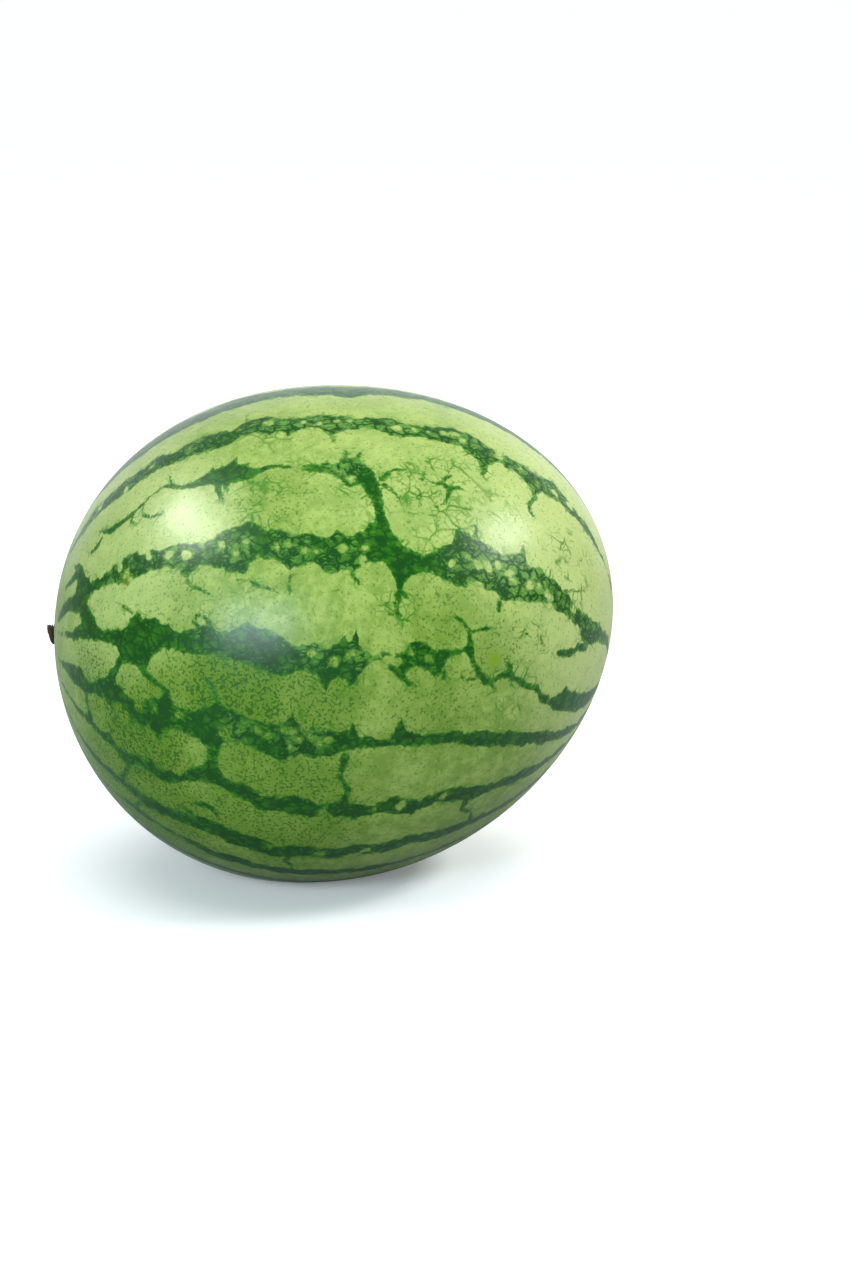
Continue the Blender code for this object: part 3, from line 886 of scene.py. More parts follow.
@dataclass
class Wiring:
    """Adds nodes to one node tree and links them up. Sizes are in millimetres."""

    tree: bpy.types.NodeTree

    def add(self, kind: str, **settings: object) -> bpy.types.Node:
        """Adds a node and sets its properties.

        Args:
            kind: The node's type.
            settings: Its properties by name.

        Returns:
            The new node.
        """
        node = self.tree.nodes.new(kind)
        for name, value in settings.items():
            setattr(node, name, value)
        return node

    def feed(self, socket: Socket, value: Feed) -> None:
        """Links an output to a socket, or gives the socket a plain value.

        Args:
            socket: The input to feed.
            value: What it is given.
        """
        if isinstance(value, bpy.types.NodeSocket):
            self.tree.links.new(value, socket)
        else:
            socket.default_value = value

    def maths(self, operation: str, *values: Feed) -> Socket:
        """One sum on numbers.

        Args:
            operation: The sum's name.
            values: The numbers, in order.

        Returns:
            The result.
        """
        node = self.add("ShaderNodeMath", operation=operation)
        for socket, value in zip(node.inputs, values):
            self.feed(socket, value)
        return node.outputs["Value"]

    def vectors(self, operation: str, first: Feed, second: Feed, name: str = "Vector") -> Socket:
        """One sum on vectors, or on a vector and a number where the operation is SCALE.

        Args:
            operation: The sum's name.
            first: The first vector.
            second: The second vector, or the number to scale by.
            name: The output to read.

        Returns:
            The result.
        """
        node = self.add("ShaderNodeVectorMath", operation=operation)
        self.feed(node.inputs[0], first)
        self.feed(node.inputs["Scale"] if operation == "SCALE" else node.inputs[1], second)
        return node.outputs[name]

    def slope(self, value: Feed, low: Feed, high: Feed, start: Feed = 0.0, end: Feed = 1.0) -> Socket:
        """A smooth slope from start, up to low, to end, from high on.

        Args:
            value: What to read.
            low: Where the slope begins.
            high: Where the slope is over.
            start: The result up to low.
            end: The result from high on.

        Returns:
            The result.
        """
        node = self.add("ShaderNodeMapRange", interpolation_type="SMOOTHSTEP")
        for name, given in zip(("Value", "From Min", "From Max"), (value, low, high)):
            self.feed(node.inputs[name], given)
        self.feed(node.inputs["To Min"], start)
        self.feed(node.inputs["To Max"], end)
        return node.outputs["Result"]

    def mixed(self, share: Feed, first: Feed, second: Feed) -> Socket:
        """A blend of two colours.

        Args:
            share: How much of the second colour there is.
            first: The colour at 0.
            second: The colour at 1.

        Returns:
            The blend.
        """
        node = self.add("ShaderNodeMix", data_type="RGBA")
        self.feed(node.inputs["Factor"], share)
        colours = [socket for socket in node.inputs if socket.type == "RGBA"]
        self.feed(colours[0], first)
        self.feed(colours[1], second)
        return next(socket for socket in node.outputs if socket.type == "RGBA")

    def noise(self, place: Socket, size: float, detail: float = 2.0, name: str = "Fac") -> Socket:
        """Soft noise whose blotches are about this size.

        Args:
            place: Where to read it.
            size: The size of a blotch, in the units of the place.
            detail: How many finer layers it has.
            name: The output to read.

        Returns:
            The noise.
        """
        node = self.add("ShaderNodeTexNoise")
        self.feed(node.inputs["Vector"], place)
        self.feed(node.inputs["Scale"], 1.0 / size)
        self.feed(node.inputs["Detail"], detail)
        return node.outputs[name]

    def cells(self, place: Socket, size: float, feature: str = "F1") -> Socket:
        """Distances in a cell pattern of this size: to a cell's middle, or to the edge between two.

        Args:
            place: Where to read it.
            size: The size of a cell, in the units of the place.
            feature: Which distance to measure.

        Returns:
            The distance, as a share of the size.
        """
        node = self.add("ShaderNodeTexVoronoi", feature=feature)
        self.feed(node.inputs["Vector"], place)
        self.feed(node.inputs["Scale"], 1.0 / size)
        return node.outputs["Distance"]

    def attribute(self, name: str) -> Socket:
        """A number that was laid over the piece's points."""
        return self.add("ShaderNodeAttribute", attribute_name=name).outputs["Fac"]

    def place(self) -> Socket:
        """Where a point is on the object, in millimetres."""
        coordinates = self.add("ShaderNodeTexCoord")
        return self.vectors("SCALE", coordinates.outputs["Object"], 1000.0)

    def stirred(self, place: Socket, size: float, amount: float) -> Socket:
        """The place, pushed about by noise, so that patterns read there lose their regularity."""
        push = self.vectors("SUBTRACT", self.noise(place, size, name="Color"), (0.5, 0.5, 0.5))
        return self.vectors("ADD", place, self.vectors("SCALE", push, 2.0 * amount))

    def bump(self, height: Socket, distance: float) -> Socket:
        """The normal of a surface with this height, whose full range is distance metres.

        Args:
            height: The relief, from 0 to 1.
            distance: How high a full height stands, in metres.

        Returns:
            The bent normal.
        """
        node = self.add("ShaderNodeBump")
        self.feed(node.inputs["Height"], height)
        node.inputs["Distance"].default_value = distance
        node.inputs["Strength"].default_value = 1.0
        return node.outputs["Normal"]


@dataclass(frozen=True)
class Effect:
    """A shader node group that more than one finish uses.

    Attributes:
        name: The group's name.
        inputs: Its inputs' names and socket types.
        outputs: Its outputs' names and socket types.
    """

    name: str
    inputs: dict[str, str]
    outputs: dict[str, str]

    def wire(self, wiring: Wiring, given: dict[str, Socket]) -> dict[str, Socket]:
        """Adds the group's own nodes."""
        raise NotImplementedError

    def group(self) -> bpy.types.NodeTree:
        """The node group, built the first time that it is asked for.

        Returns:
            The group, with its inputs and outputs wired.
        """
        if self.name in bpy.data.node_groups:
            return bpy.data.node_groups[self.name]
        tree = bpy.data.node_groups.new(self.name, "ShaderNodeTree")
        for name, kind in self.inputs.items():
            tree.interface.new_socket(name, in_out="INPUT", socket_type=kind)
        for name, kind in self.outputs.items():
            tree.interface.new_socket(name, in_out="OUTPUT", socket_type=kind)
        wiring = Wiring(tree)
        entry = wiring.add("NodeGroupInput")
        way_out = wiring.add("NodeGroupOutput")
        made = self.wire(wiring, {name: entry.outputs[name] for name in self.inputs})
        for name, socket in made.items():
            wiring.feed(way_out.inputs[name], socket)
        return tree

    def placed(self, wiring: Wiring, **values: Feed) -> dict[str, Socket]:
        """Places the group in a material with its own values.

        Args:
            wiring: The material's nodes.
            **values: A value or a socket for each input, by name.

        Returns:
            The group's outputs, by name.
        """
        node = wiring.add("ShaderNodeGroup", node_tree=self.group())
        for name, value in values.items():
            wiring.feed(node.inputs[name], value)
        return {name: node.outputs[name] for name in self.outputs}


class Mottle(Effect):
    """Soft uneven blotches, as on anything that grew: a value around 0.5."""

    FINER = 3.7
    SMALL_SHARE = 0.35

    def wire(self, wiring: Wiring, given: dict[str, Socket]) -> dict[str, Socket]:
        """Adds two sizes of noise.

        Args:
            wiring: The group's nodes.
            given: The sockets of its inputs.

        Returns:
            The sockets that feed its outputs.
        """
        large = wiring.vectors("SCALE", given["Place"], wiring.maths("DIVIDE", 1.0, given["Size"]))
        small = wiring.vectors("SCALE", large, self.FINER)
        large_part = wiring.maths("MULTIPLY", wiring.noise(large, 1.0), 1.0 - self.SMALL_SHARE)
        both = wiring.maths("MULTIPLY_ADD", wiring.noise(small, 1.0), self.SMALL_SHARE, large_part)
        around_zero = wiring.maths("SUBTRACT", both, NOISE_MIDDLE)
        return {"Value": wiring.maths("MULTIPLY_ADD", around_zero, given["Contrast"], NOISE_MIDDLE)}


class Cork(Effect):
    """Dry corky tissue, furrowed along one direction: a colour and a height. Its colour is the cork's own
    uneven tone, darkened down in the furrows by painted shade.
    """

    WANDER = (1.6, 0.35)
    STRETCH = (0.3, 1.0, 1.0)
    FURROW_SIZE = 0.9
    FURROW_WALL = (0.02, 0.22)
    GRAIN_SIZE = 0.45
    GRAIN_DETAIL = 3.0
    FURROW_SHARE = 0.7
    GRAIN_SHARE = 0.3
    SHADE_SIZE = 3.0
    SHADE_RANGE = (0.25, 0.7)

    def wire(self, wiring: Wiring, given: dict[str, Socket]) -> dict[str, Socket]:
        """Adds furrows, grains and their colours, with painted shade darkening the furrows.

        Args:
            wiring: The group's nodes.
            given: The sockets of its inputs.

        Returns:
            The sockets that feed its outputs.
        """
        stirred = wiring.stirred(given["Place"], *self.WANDER)
        drawn_out = wiring.vectors("MULTIPLY", stirred, self.STRETCH)
        furrows = wiring.cells(drawn_out, self.FURROW_SIZE, "DISTANCE_TO_EDGE")
        furrow = wiring.slope(furrows, *self.FURROW_WALL)
        grain = wiring.noise(given["Place"], self.GRAIN_SIZE, self.GRAIN_DETAIL)
        grainy = wiring.maths("MULTIPLY", grain, self.GRAIN_SHARE)
        height = wiring.maths("MULTIPLY_ADD", furrow, self.FURROW_SHARE, grainy)
        # The colour follows the height as well as noise, so the furrows are darker: painted shade over the
        # cork's own uneven tone.
        half_height = wiring.maths("MULTIPLY", height, 0.5)
        shade = wiring.noise(given["Place"], self.SHADE_SIZE)
        shade = wiring.maths("MULTIPLY_ADD", shade, 0.5, half_height)
        share = wiring.slope(shade, *self.SHADE_RANGE)
        return {"Colour": wiring.mixed(share, given["Dark"], given["Light"]), "Height": height}


MOTTLE = Mottle(
    "mottle",
    {"Place": "NodeSocketVector", "Size": "NodeSocketFloat", "Contrast": "NodeSocketFloat"},
    {"Value": "NodeSocketFloat"},
)
CORK = Cork(
    "cork",
    {"Place": "NodeSocketVector", "Dark": "NodeSocketColor", "Light": "NodeSocketColor"},
    {"Colour": "NodeSocketColor", "Height": "NodeSocketFloat"},
)


# --------------------------------------------------------------------------------------------------
# Finishes
# --------------------------------------------------------------------------------------------------


def new_material(name: str) -> tuple[bpy.types.Material, Wiring, bpy.types.Node]:
    """An empty Principled material, its wiring and its shader.

    Args:
        name: The material's name.

    Returns:
        The material, its wiring and its shader node.
    """
    material = bpy.data.materials.new(name)
    material.use_nodes = True
    return material, Wiring(material.node_tree), material.node_tree.nodes["Principled BSDF"]


@dataclass(frozen=True)
class RindFinish:
    """The waxy rind: a light mottled ground, dark stripes netted with veins, fine cracks and flecks.

    Sizes and depths are in millimetres. A `wander` is the size and the amount of a push that bends a
    pattern. A `range` is where a value starts and ends its slope, with any end values after them.
    """

    # The colours of the ground, the stripes, the marks and the scars.
    ground: Colour = srgb(144, 166, 80)
    ground_deep: Colour = srgb(112, 142, 54)
    # The rich green is painted shade where the broad `fleck` patches lie low on the front, and the rind's
    # own richer patches elsewhere.
    ground_rich_and_painted_shade: Colour = srgb(84, 120, 16)
    # The pale green is painted light on the upper left and the upper right, and the rind's own paler tint
    # at the far end.
    ground_pale_and_painted_light: Colour = srgb(184, 199, 128)
    ground_spot: Colour = srgb(226, 206, 130)
    vein: Colour = srgb(6, 74, 0)
    vein_deep: Colour = srgb(6, 54, 10)
    net: Colour = srgb(50, 112, 14)
    net_open: Colour = srgb(96, 140, 58)
    fleck: Colour = srgb(34, 86, 4)
    bruise: Colour = srgb(112, 140, 30)
    cork_dark: Colour = srgb(92, 74, 44)
    cork_light: Colour = srgb(190, 172, 120)

    # The stripes' edges. A middle is what its cell pattern averages, so that edges stay in place.
    edge_wander: Point = (7.0, 1.6)
    lobe_size: float = 8.0
    lobe_depth: float = 3.0
    lobe_middle: float = 0.56
    feather_size: float = 3.2
    feather_depth: float = 2.2
    feather_middle: float = 0.54
    fray_size: float = 1.3
    fray_detail: float = 3.0
    fray_depth: float = 1.4
    streak_unevenness: float = 0.42
    streak_fray: float = 1.6
    streak_swell: float = 0.12
    edge_range: Point = (-0.60, 0.45)

    # The ground's blotches, each a size and a contrast.
    broad_blotch: Point = (16.0, 1.6)
    fine_blotch: Point = (4.5, 1.5)
    blotch_range: Point = (0.36, 0.66)
    # How far `fleck` pulls the ground towards the rich green, which low on the front is painted shade.
    rich_and_shade_share: float = 0.9
    spot_strength: float = 0.85

    # The flecks, which come in clumps.
    fleck_wander: Point = (1.8, 0.5)
    fleck_size: float = 1.35
    fleck_detail: float = 1.5
    clump_size: float = 6.0
    clump_depth: float = 0.16
    fleck_gain: float = 0.12
    fleck_strength: float = 0.45
    fleck_range: Point = (0.66, 0.78)

    # The fine veins that run out of the stripes, wide-meshed and close-meshed.
    crack_wander: Point = (6.0, 1.3)
    crack_waver: Point = (2.4, 0.6)
    wide_mesh: float = 12.0
    close_mesh: float = 6.4
    break_size: float = 9.0
    break_detail: float = 2.5
    break_range: Point = (0.38, 0.60)
    near_range: Point = (-5.0, -0.5)
    near_gain: float = 0.32
    crack_everywhere: float = 0.10
    wide_line: tuple[float, ...] = (0.0, 0.07, 1.0, 0.0)
    close_line: tuple[float, ...] = (0.0, 0.09, 1.0, 0.0)
    close_share: float = 0.7
    crack_range: tuple[float, ...] = (0.05, 0.6, 0.0, 0.95)

    # The net of veins that makes up a stripe, drawn out along it, fine and coarse.
    net_wander: Point = (4.0, 1.9)
    net_waver: Point = (1.3, 0.7)
    net_stretch: Knot = (0.6, 1.0, 1.0)
    net_size: float = 2.2
    coarse_net: float = 2.2
    closing_range: tuple[float, ...] = (-0.5, 5.0, 0.12, 0.42)
    opening: float = -0.75
    fine_line: tuple[float, ...] = (-0.10, 0.06, 1.0, 0.0)
    coarse_line: tuple[float, ...] = (0.02, 0.20, 1.0, 0.0)
    faint_size: float = 5.0
    faint_range: tuple[float, ...] = (0.35, 0.6, 0.45, 1.0)
    green_size: float = 11.0
    firm_range: tuple[float, ...] = (-0.4, 1.6, 0.25, 1.0)

    # The waxy surface.
    roughness: float = 0.37
    dull_size: float = 9.0
    dull_depth: float = 0.16
    scar_roughness: float = 0.4
    gloss: float = 0.21
    wax: float = 0.15
    wax_roughness: float = 0.22
    bloom: float = 0.07
    bloom_roughness: float = 0.35

    # The relief, as shares of its full height, which is in metres.
    relief: float = 0.0003
    dimple_size: float = 5.5
    dimple_share: float = 0.8
    pore_size: float = 0.8
    pore_share: float = 0.10
    stripe_share: float = 0.12
    cork_share: float = 1.2

    def stripe_edge(self, wiring: Wiring, place: Socket) -> Socket:
        """How far a point is inside a stripe, in millimetres, with lobed and feathered edges.

        Args:
            wiring: The rind's node tree.
            place: Where the point is, in millimetres.

        Returns:
            The distance, which is below zero outside the stripes.
        """
        stirred = wiring.stirred(place, *self.edge_wander)
        lobes = wiring.maths("SUBTRACT", wiring.cells(stirred, self.lobe_size), self.lobe_middle)
        feathers = wiring.maths("SUBTRACT", wiring.cells(stirred, self.feather_size), self.feather_middle)
        uneven = wiring.maths("MULTIPLY", lobes, self.lobe_depth)
        uneven = wiring.maths("MULTIPLY_ADD", feathers, self.feather_depth, uneven)
        frayed = wiring.noise(place, self.fray_size, self.fray_detail)
        frayed = wiring.maths("SUBTRACT", frayed, NOISE_MIDDLE)
        uneven = wiring.maths("MULTIPLY_ADD", frayed, self.fray_depth, uneven)
        band = wiring.maths("ADD", wiring.attribute("depth"), uneven)
        streak = wiring.maths("MULTIPLY_ADD", uneven, self.streak_unevenness, wiring.attribute("streak"))
        streak = wiring.maths("ADD", streak, self.streak_swell)
        streak = wiring.maths("MULTIPLY_ADD", frayed, self.streak_fray, streak)
        return wiring.maths("MAXIMUM", band, streak)

    def ground_colour(self, wiring: Wiring, place: Socket) -> Socket:
        """The light ground between the stripes.

        Args:
            wiring: The rind's node tree.
            place: Where the point is, in millimetres.

        Returns:
            Its colour.
        """
        broad, fine = (
            MOTTLE.placed(wiring, Place=place, Size=size, Contrast=contrast)["Value"]
            for size, contrast in (self.broad_blotch, self.fine_blotch)
        )
        blotches = wiring.maths("MULTIPLY_ADD", broad, 0.5, wiring.maths("MULTIPLY", fine, 0.5))
        light = wiring.slope(blotches, *self.blotch_range)
        colour = wiring.mixed(light, self.ground_deep, self.ground)
        # Richer, darker green where `fleck` lies: painted shade low on the front, the rind's own patches
        # elsewhere.
        rich_and_shade = wiring.maths("MULTIPLY", wiring.attribute("fleck"), self.rich_and_shade_share)
        colour = wiring.mixed(rich_and_shade, colour, self.ground_rich_and_painted_shade)
        # Lighter where `pale` lies: painted light on the upper left and right, the rind's own paler tint
        # at the far end.
        return wiring.mixed(wiring.attribute("pale"), colour, self.ground_pale_and_painted_light)

    def flecked(self, wiring: Wiring, place: Socket, colour: Socket) -> Socket:
        """The ground with its pepper of dark flecks.

        Args:
            wiring: The rind's node tree.
            place: Where the point is, in millimetres.
            colour: The ground without them.

        Returns:
            Its colour.
        """
        stirred = wiring.stirred(place, *self.fleck_wander)
        grains = wiring.noise(stirred, self.fleck_size, self.fleck_detail)
        clumps = wiring.maths("MULTIPLY", wiring.noise(place, self.clump_size), self.clump_depth)
        # `fleck` also thickens the flecks; in its broad patches low on the front that extra darkening is
        # painted shade.
        thick = wiring.attribute("fleck")
        amount = wiring.maths("MULTIPLY_ADD", thick, self.fleck_gain, clumps)
        strength = wiring.maths("MULTIPLY_ADD", thick, self.fleck_strength, self.fleck_strength)
        dark = wiring.slope(wiring.maths("ADD", grains, amount), *self.fleck_range, 0.0, strength)
        return wiring.mixed(dark, colour, self.fleck)

    def cracked(self, wiring: Wiring, place: Socket, edge: Socket, colour: Socket) -> Socket:
        """The ground with fine veins running out of the stripes.

        Args:
            wiring: The rind's node tree.
            place: Where the point is, in millimetres.
            edge: How far the point is inside a stripe, in millimetres.
            colour: The ground without them.

        Returns:
            Its colour.
        """
        stirred = wiring.stirred(wiring.stirred(place, *self.crack_wander), *self.crack_waver)
        wide = wiring.cells(stirred, self.wide_mesh, "DISTANCE_TO_EDGE")
        close = wiring.cells(stirred, self.close_mesh, "DISTANCE_TO_EDGE")
        near_stripe = wiring.slope(edge, *self.near_range)
        amount = wiring.maths("MULTIPLY_ADD", near_stripe, self.near_gain, wiring.attribute("crack"))
        amount = wiring.maths("ADD", amount, self.crack_everywhere)
        unbroken = wiring.slope(wiring.noise(place, self.break_size, self.break_detail), *self.break_range)
        strength = wiring.maths("MULTIPLY", amount, unbroken)
        wide_vein = wiring.slope(wide, *self.wide_line)
        close_vein = wiring.maths("MULTIPLY", wiring.slope(close, *self.close_line), self.close_share)
        vein = wiring.maths("MAXIMUM", wide_vein, close_vein)
        share = wiring.maths("MULTIPLY", vein, wiring.slope(strength, *self.crack_range))
        return wiring.mixed(share, colour, self.net)

    def stripe_colour(self, wiring: Wiring, place: Socket, edge: Socket) -> Socket:
        """The dark stripes: a net of veins over a softer green, closing up towards the middle.

        Args:
            wiring: The rind's node tree.
            place: Where the point is, in millimetres.
            edge: How far the point is inside a stripe, in millimetres.

        Returns:
            Its colour.
        """
        stirred = wiring.stirred(wiring.stirred(place, *self.net_wander), *self.net_waver)
        drawn_out = wiring.vectors("MULTIPLY", stirred, self.net_stretch)
        fine = wiring.cells(drawn_out, self.net_size, "DISTANCE_TO_EDGE")
        coarse = wiring.cells(drawn_out, self.coarse_net * self.net_size, "DISTANCE_TO_EDGE")
        open_net = wiring.attribute("open")
        closed = wiring.maths("MULTIPLY_ADD", open_net, self.opening, 1.0)
        reach = wiring.maths("MULTIPLY", wiring.slope(edge, *self.closing_range), closed)
        fine_vein = wiring.slope(wiring.maths("SUBTRACT", fine, reach), *self.fine_line)
        coarse_vein = wiring.slope(coarse, *self.coarse_line)
        faint = wiring.slope(wiring.noise(place, self.faint_size), *self.faint_range)
        veins = wiring.maths("MAXIMUM", wiring.maths("MULTIPLY", fine_vein, faint), coarse_vein)
        between = wiring.mixed(open_net, self.net, self.net_open)
        green = wiring.mixed(wiring.noise(place, self.green_size), self.vein, self.vein_deep)
        firm = wiring.slope(edge, *self.firm_range)
        return wiring.mixed(wiring.maths("MULTIPLY", veins, firm), between, green)

    def make(self) -> bpy.types.Material:
        """The material of the whole fruit.

        Returns:
            The finished material.
        """
        material, wiring, shader = new_material("rind")
        place = wiring.place()
        edge = self.stripe_edge(wiring, place)
        ground = self.flecked(wiring, place, self.ground_colour(wiring, place))
        ground = self.cracked(wiring, place, edge, ground)
        inside = wiring.slope(edge, *self.edge_range)
        colour = wiring.mixed(inside, ground, self.stripe_colour(wiring, place, edge))
        spot = wiring.maths("MULTIPLY", wiring.attribute("ground_spot"), self.spot_strength)
        colour = wiring.mixed(spot, colour, self.ground_spot)
        colour = wiring.mixed(wiring.attribute("bruise"), colour, self.bruise)
        cork = CORK.placed(wiring, Place=place, Dark=self.cork_dark, Light=self.cork_light)
        scar = wiring.attribute("scar")
        wiring.feed(shader.inputs["Base Color"], wiring.mixed(scar, colour, cork["Colour"]))
        dull = MOTTLE.placed(wiring, Place=place, Size=self.dull_size, Contrast=1.0)["Value"]
        glossiest = self.roughness - self.dull_depth / 2.0
        satin = wiring.maths("MULTIPLY_ADD", dull, self.dull_depth, glossiest)
        rough = wiring.maths("MULTIPLY_ADD", scar, self.scar_roughness, satin)
        wiring.feed(shader.inputs["Roughness"], rough)
        shader.inputs["Specular IOR Level"].default_value = self.gloss
        shader.inputs["Coat Weight"].default_value = self.wax
        shader.inputs["Coat Roughness"].default_value = self.wax_roughness
        shader.inputs["Sheen Weight"].default_value = self.bloom
        shader.inputs["Sheen Roughness"].default_value = self.bloom_roughness
        height = wiring.maths("MULTIPLY", wiring.noise(place, self.dimple_size), self.dimple_share)
        pores = wiring.noise(place, self.pore_size, 1.0)
        height = wiring.maths("MULTIPLY_ADD", pores, self.pore_share, height)
        height = wiring.maths("MULTIPLY_ADD", inside, self.stripe_share, height)
        corky = wiring.maths("MULTIPLY", scar, cork["Height"])
        height = wiring.maths("MULTIPLY_ADD", corky, self.cork_share, height)
        wiring.feed(shader.inputs["Normal"], wiring.bump(height, self.relief))
        return material


@dataclass(frozen=True)
class DryStemFinish:
    """Dry stem: dark, fibrous and dull, paler where it was cut."""

    dark: Colour = srgb(30, 22, 14)
    light: Colour = srgb(96, 74, 46)
    mottle_size: float = 2.5
    mottle_contrast: float = 1.8
    roughness: float = 0.78
    dull_depth: float = 0.2
    relief: float = 0.0004

    def make(self, name: str, pith: Colour) -> bpy.types.Material:
        """A stem material.

        Args:
            name: The material's name.
            pith: The colour of the parts that the `pith` attribute marks.

        Returns:
            The material.
        """
        material, wiring, shader = new_material(name)
        place = wiring.place()
        cork = CORK.placed(wiring, Place=place, Dark=self.dark, Light=self.light)
        blotches = MOTTLE.placed(wiring, Place=place, Size=self.mottle_size, Contrast=self.mottle_contrast)
        mottle = blotches["Value"]
        pith_share = wiring.maths("MULTIPLY", wiring.attribute("pith"), mottle)
        wiring.feed(shader.inputs["Base Color"], wiring.mixed(pith_share, cork["Colour"], pith))
        glossiest = self.roughness - self.dull_depth / 2.0
        satin = wiring.maths("MULTIPLY_ADD", mottle, self.dull_depth, glossiest)
        wiring.feed(shader.inputs["Roughness"], satin)
        wiring.feed(shader.inputs["Normal"], wiring.bump(cork["Height"], self.relief))
        return material


@dataclass(frozen=True)
class FloorFinish:
    """The studio's pale paper, lit through from below, which throws little light back up at the fruit."""

    paper: Colour = srgb(246, 248, 243)
    shade: Colour = srgb(240, 242, 244)
    bounce: Colour = srgb(150, 158, 156)
    glow_colour: Colour = srgb(248, 252, 255)
    glow: float = 0.18
    mottle_size: float = 40.0
    roughness: float = 0.9
    gloss: float = 0.1

    def make(self) -> bpy.types.Material:
        """The floor's material.

        Returns:
            The finished material.
        """
        material, wiring, shader = new_material("pale_paper")
        place = wiring.place()
        mottle = MOTTLE.placed(wiring, Place=place, Size=self.mottle_size, Contrast=1.0)["Value"]
        paper = wiring.mixed(mottle, self.shade, self.paper)
        seen = wiring.add("ShaderNodeLightPath").outputs["Is Camera Ray"]
        wiring.feed(shader.inputs["Base Color"], wiring.mixed(seen, self.bounce, paper))
        shader.inputs["Emission Color"].default_value = self.glow_colour
        wiring.feed(shader.inputs["Emission Strength"], wiring.maths("MULTIPLY", seen, self.glow))
        shader.inputs["Roughness"].default_value = self.roughness
        shader.inputs["Specular IOR Level"].default_value = self.gloss
        return material


# --------------------------------------------------------------------------------------------------
# The pieces
# --------------------------------------------------------------------------------------------------


def points_of(piece: bpy.types.Object) -> np.ndarray:
    """A mesh's points, one row each.

    Args:
        piece: The object to read.

    Returns:
        The points, in metres.
    """
    points = np.empty(len(piece.data.vertices) * 3)
    piece.data.vertices.foreach_get("co", points)
    return points.reshape(-1, 3)


def move_points(piece: bpy.types.Object, points: np.ndarray) -> None:
    """Puts a mesh's points where these rows say."""
    piece.data.vertices.foreach_set("co", points.astype(np.float32).ravel())
    piece.data.update()


def lay_over(piece: bpy.types.Object, name: str, values: np.ndarray) -> None:
    """Lays a number over a mesh's points, for its material to read."""
    attribute = piece.data.attributes.new(name, "FLOAT", "POINT")
    attribute.data.foreach_set("value", values.astype(np.float32))


def refined(piece: bpy.types.Object, levels: int) -> None:
    """Divides a mesh into a smooth finer one.

    Args:
        piece: The object to divide.
        levels: How many times each face is divided.
    """
    finer = piece.modifiers.new("finer", "SUBSURF")
    finer.levels = levels
    finer.render_levels = levels
    finer.uv_smooth = "NONE"
    bpy.ops.object.modifier_apply(modifier=finer.name)


def select_faces_facing(piece: bpy.types.Object, way: Vector) -> None:
    """Leaves only the faces that face this way selected, in edit mode.

    Args:
        piece: The object, which is left in edit mode.
        way: The direction, as a unit vector.
    """
    bpy.ops.object.mode_set(mode="OBJECT")
    for face in piece.data.polygons:
        face.select = face.normal.dot(way) > SAME_WAY
    bpy.ops.object.mode_set(mode="EDIT")


def hashed_noise(points: np.ndarray, size: float) -> np.ndarray:
    """Smooth noise from -1 to 1 at each point, with bumps about this size, in metres."""
    return np.array([noise.noise(Vector(point) / size) for point in points])


@dataclass
class Fruit:
    """The whole fruit, with its stripes laid over it."""

    growth: Growth
    levels: int = 7
    map_columns: int = 3
    map_margin: float = 0.01
    stem_scar_edge: Point = (0.0072, 0.0100)
    blossom_scar_edge: Point = (0.0034, 0.0060)

    def build(self) -> bpy.types.Object:
        """A ball of even faces, grown to the fruit's form.

        Returns:
            The finished piece.
        """
        bpy.ops.object.select_all(action="DESELECT")
        bpy.ops.mesh.primitive_cube_add(size=2.0)
        piece = bpy.context.object
        piece.name = "striped_rind"
        self.lay_out_map(piece)
        refined(piece, self.levels)
        ball = piece.modifiers.new("ball", "CAST")
        ball.factor = 1.0
        bpy.ops.object.modifier_apply(modifier=ball.name)
        directions = points_of(piece)
        directions /= np.linalg.norm(directions, axis=1)[:, None]
        polar = np.degrees(np.arccos(np.clip(-directions[:, 0], -1.0, 1.0)))
        around = np.degrees(np.arctan2(directions[:, 2], -directions[:, 1]))
        skin = self.growth.skin(polar, around)
        move_points(piece, self.growth.pressed(skin, polar) + np.array(self.growth.origin))
        self.paint(piece, polar, around, skin)
        bpy.ops.object.shade_smooth()
        return piece

    def lay_out_map(self, piece: bpy.types.Object) -> None:
        """Lays the cube's six sides out side by side in the piece's own map.

        Args:
            piece: The fruit, still made of the six sides of a cube.
        """
        layer = piece.data.uv_layers[0]
        layer.name = "OFBake"
        rows = len(piece.data.polygons) / self.map_columns
        corners = ((0, 0), (1, 0), (1, 1), (0, 1))
        for face in piece.data.polygons:
            row, column = divmod(face.index, self.map_columns)
            for loop, corner in zip(face.loop_indices, corners):
                inner = [self.map_margin + (1.0 - 2.0 * self.map_margin) * share for share in corner]
                layer.data[loop].uv = ((column + inner[0]) / self.map_columns, (row + inner[1]) / rows)

    def paint(
        self, piece: bpy.types.Object, polar: np.ndarray, around: np.ndarray, skin: np.ndarray
    ) -> None:
        """Lays the stripes and the finer growth over the rind.

        Args:
            piece: The fruit.
            polar: Each point's degrees from the stem.
            around: Each point's degrees up from the front.
            skin: Each point's place before the scars were pressed in.
        """
        along, across = self.growth.stripe_angles(polar, around)
        pattern = RindPattern(self.growth, along, across)
        pattern.grow()
        lay_over(piece, "depth", pattern.depth)
        lay_over(piece, "streak", pattern.streak)
        for name, spots in PATCHES.items():
            lay_over(piece, name, pattern.patches(spots))
        off_axis = self.growth.section_radius(-np.cos(np.radians(polar)))
        stem_scar = (1.0 - smooth_step(*self.stem_scar_edge, off_axis)) * (polar < 90.0)
        from_blossom = np.linalg.norm(skin - self.growth.blossom_scar(), axis=1)
        blossom_scar = 1.0 - smooth_step(*self.blossom_scar_edge, from_blossom)
        lay_over(piece, "scar", np.maximum(stem_scar, blossom_scar))

    def dress(self, piece: bpy.types.Object, rind: bpy.types.Material) -> None:
        """Gives the fruit its rind and its place in the frame.

        Args:
            piece: The finished fruit.
            rind: Its material.
        """
        piece.data.materials.append(rind)
        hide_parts("fruit")
        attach(piece, ROOT_BODY)


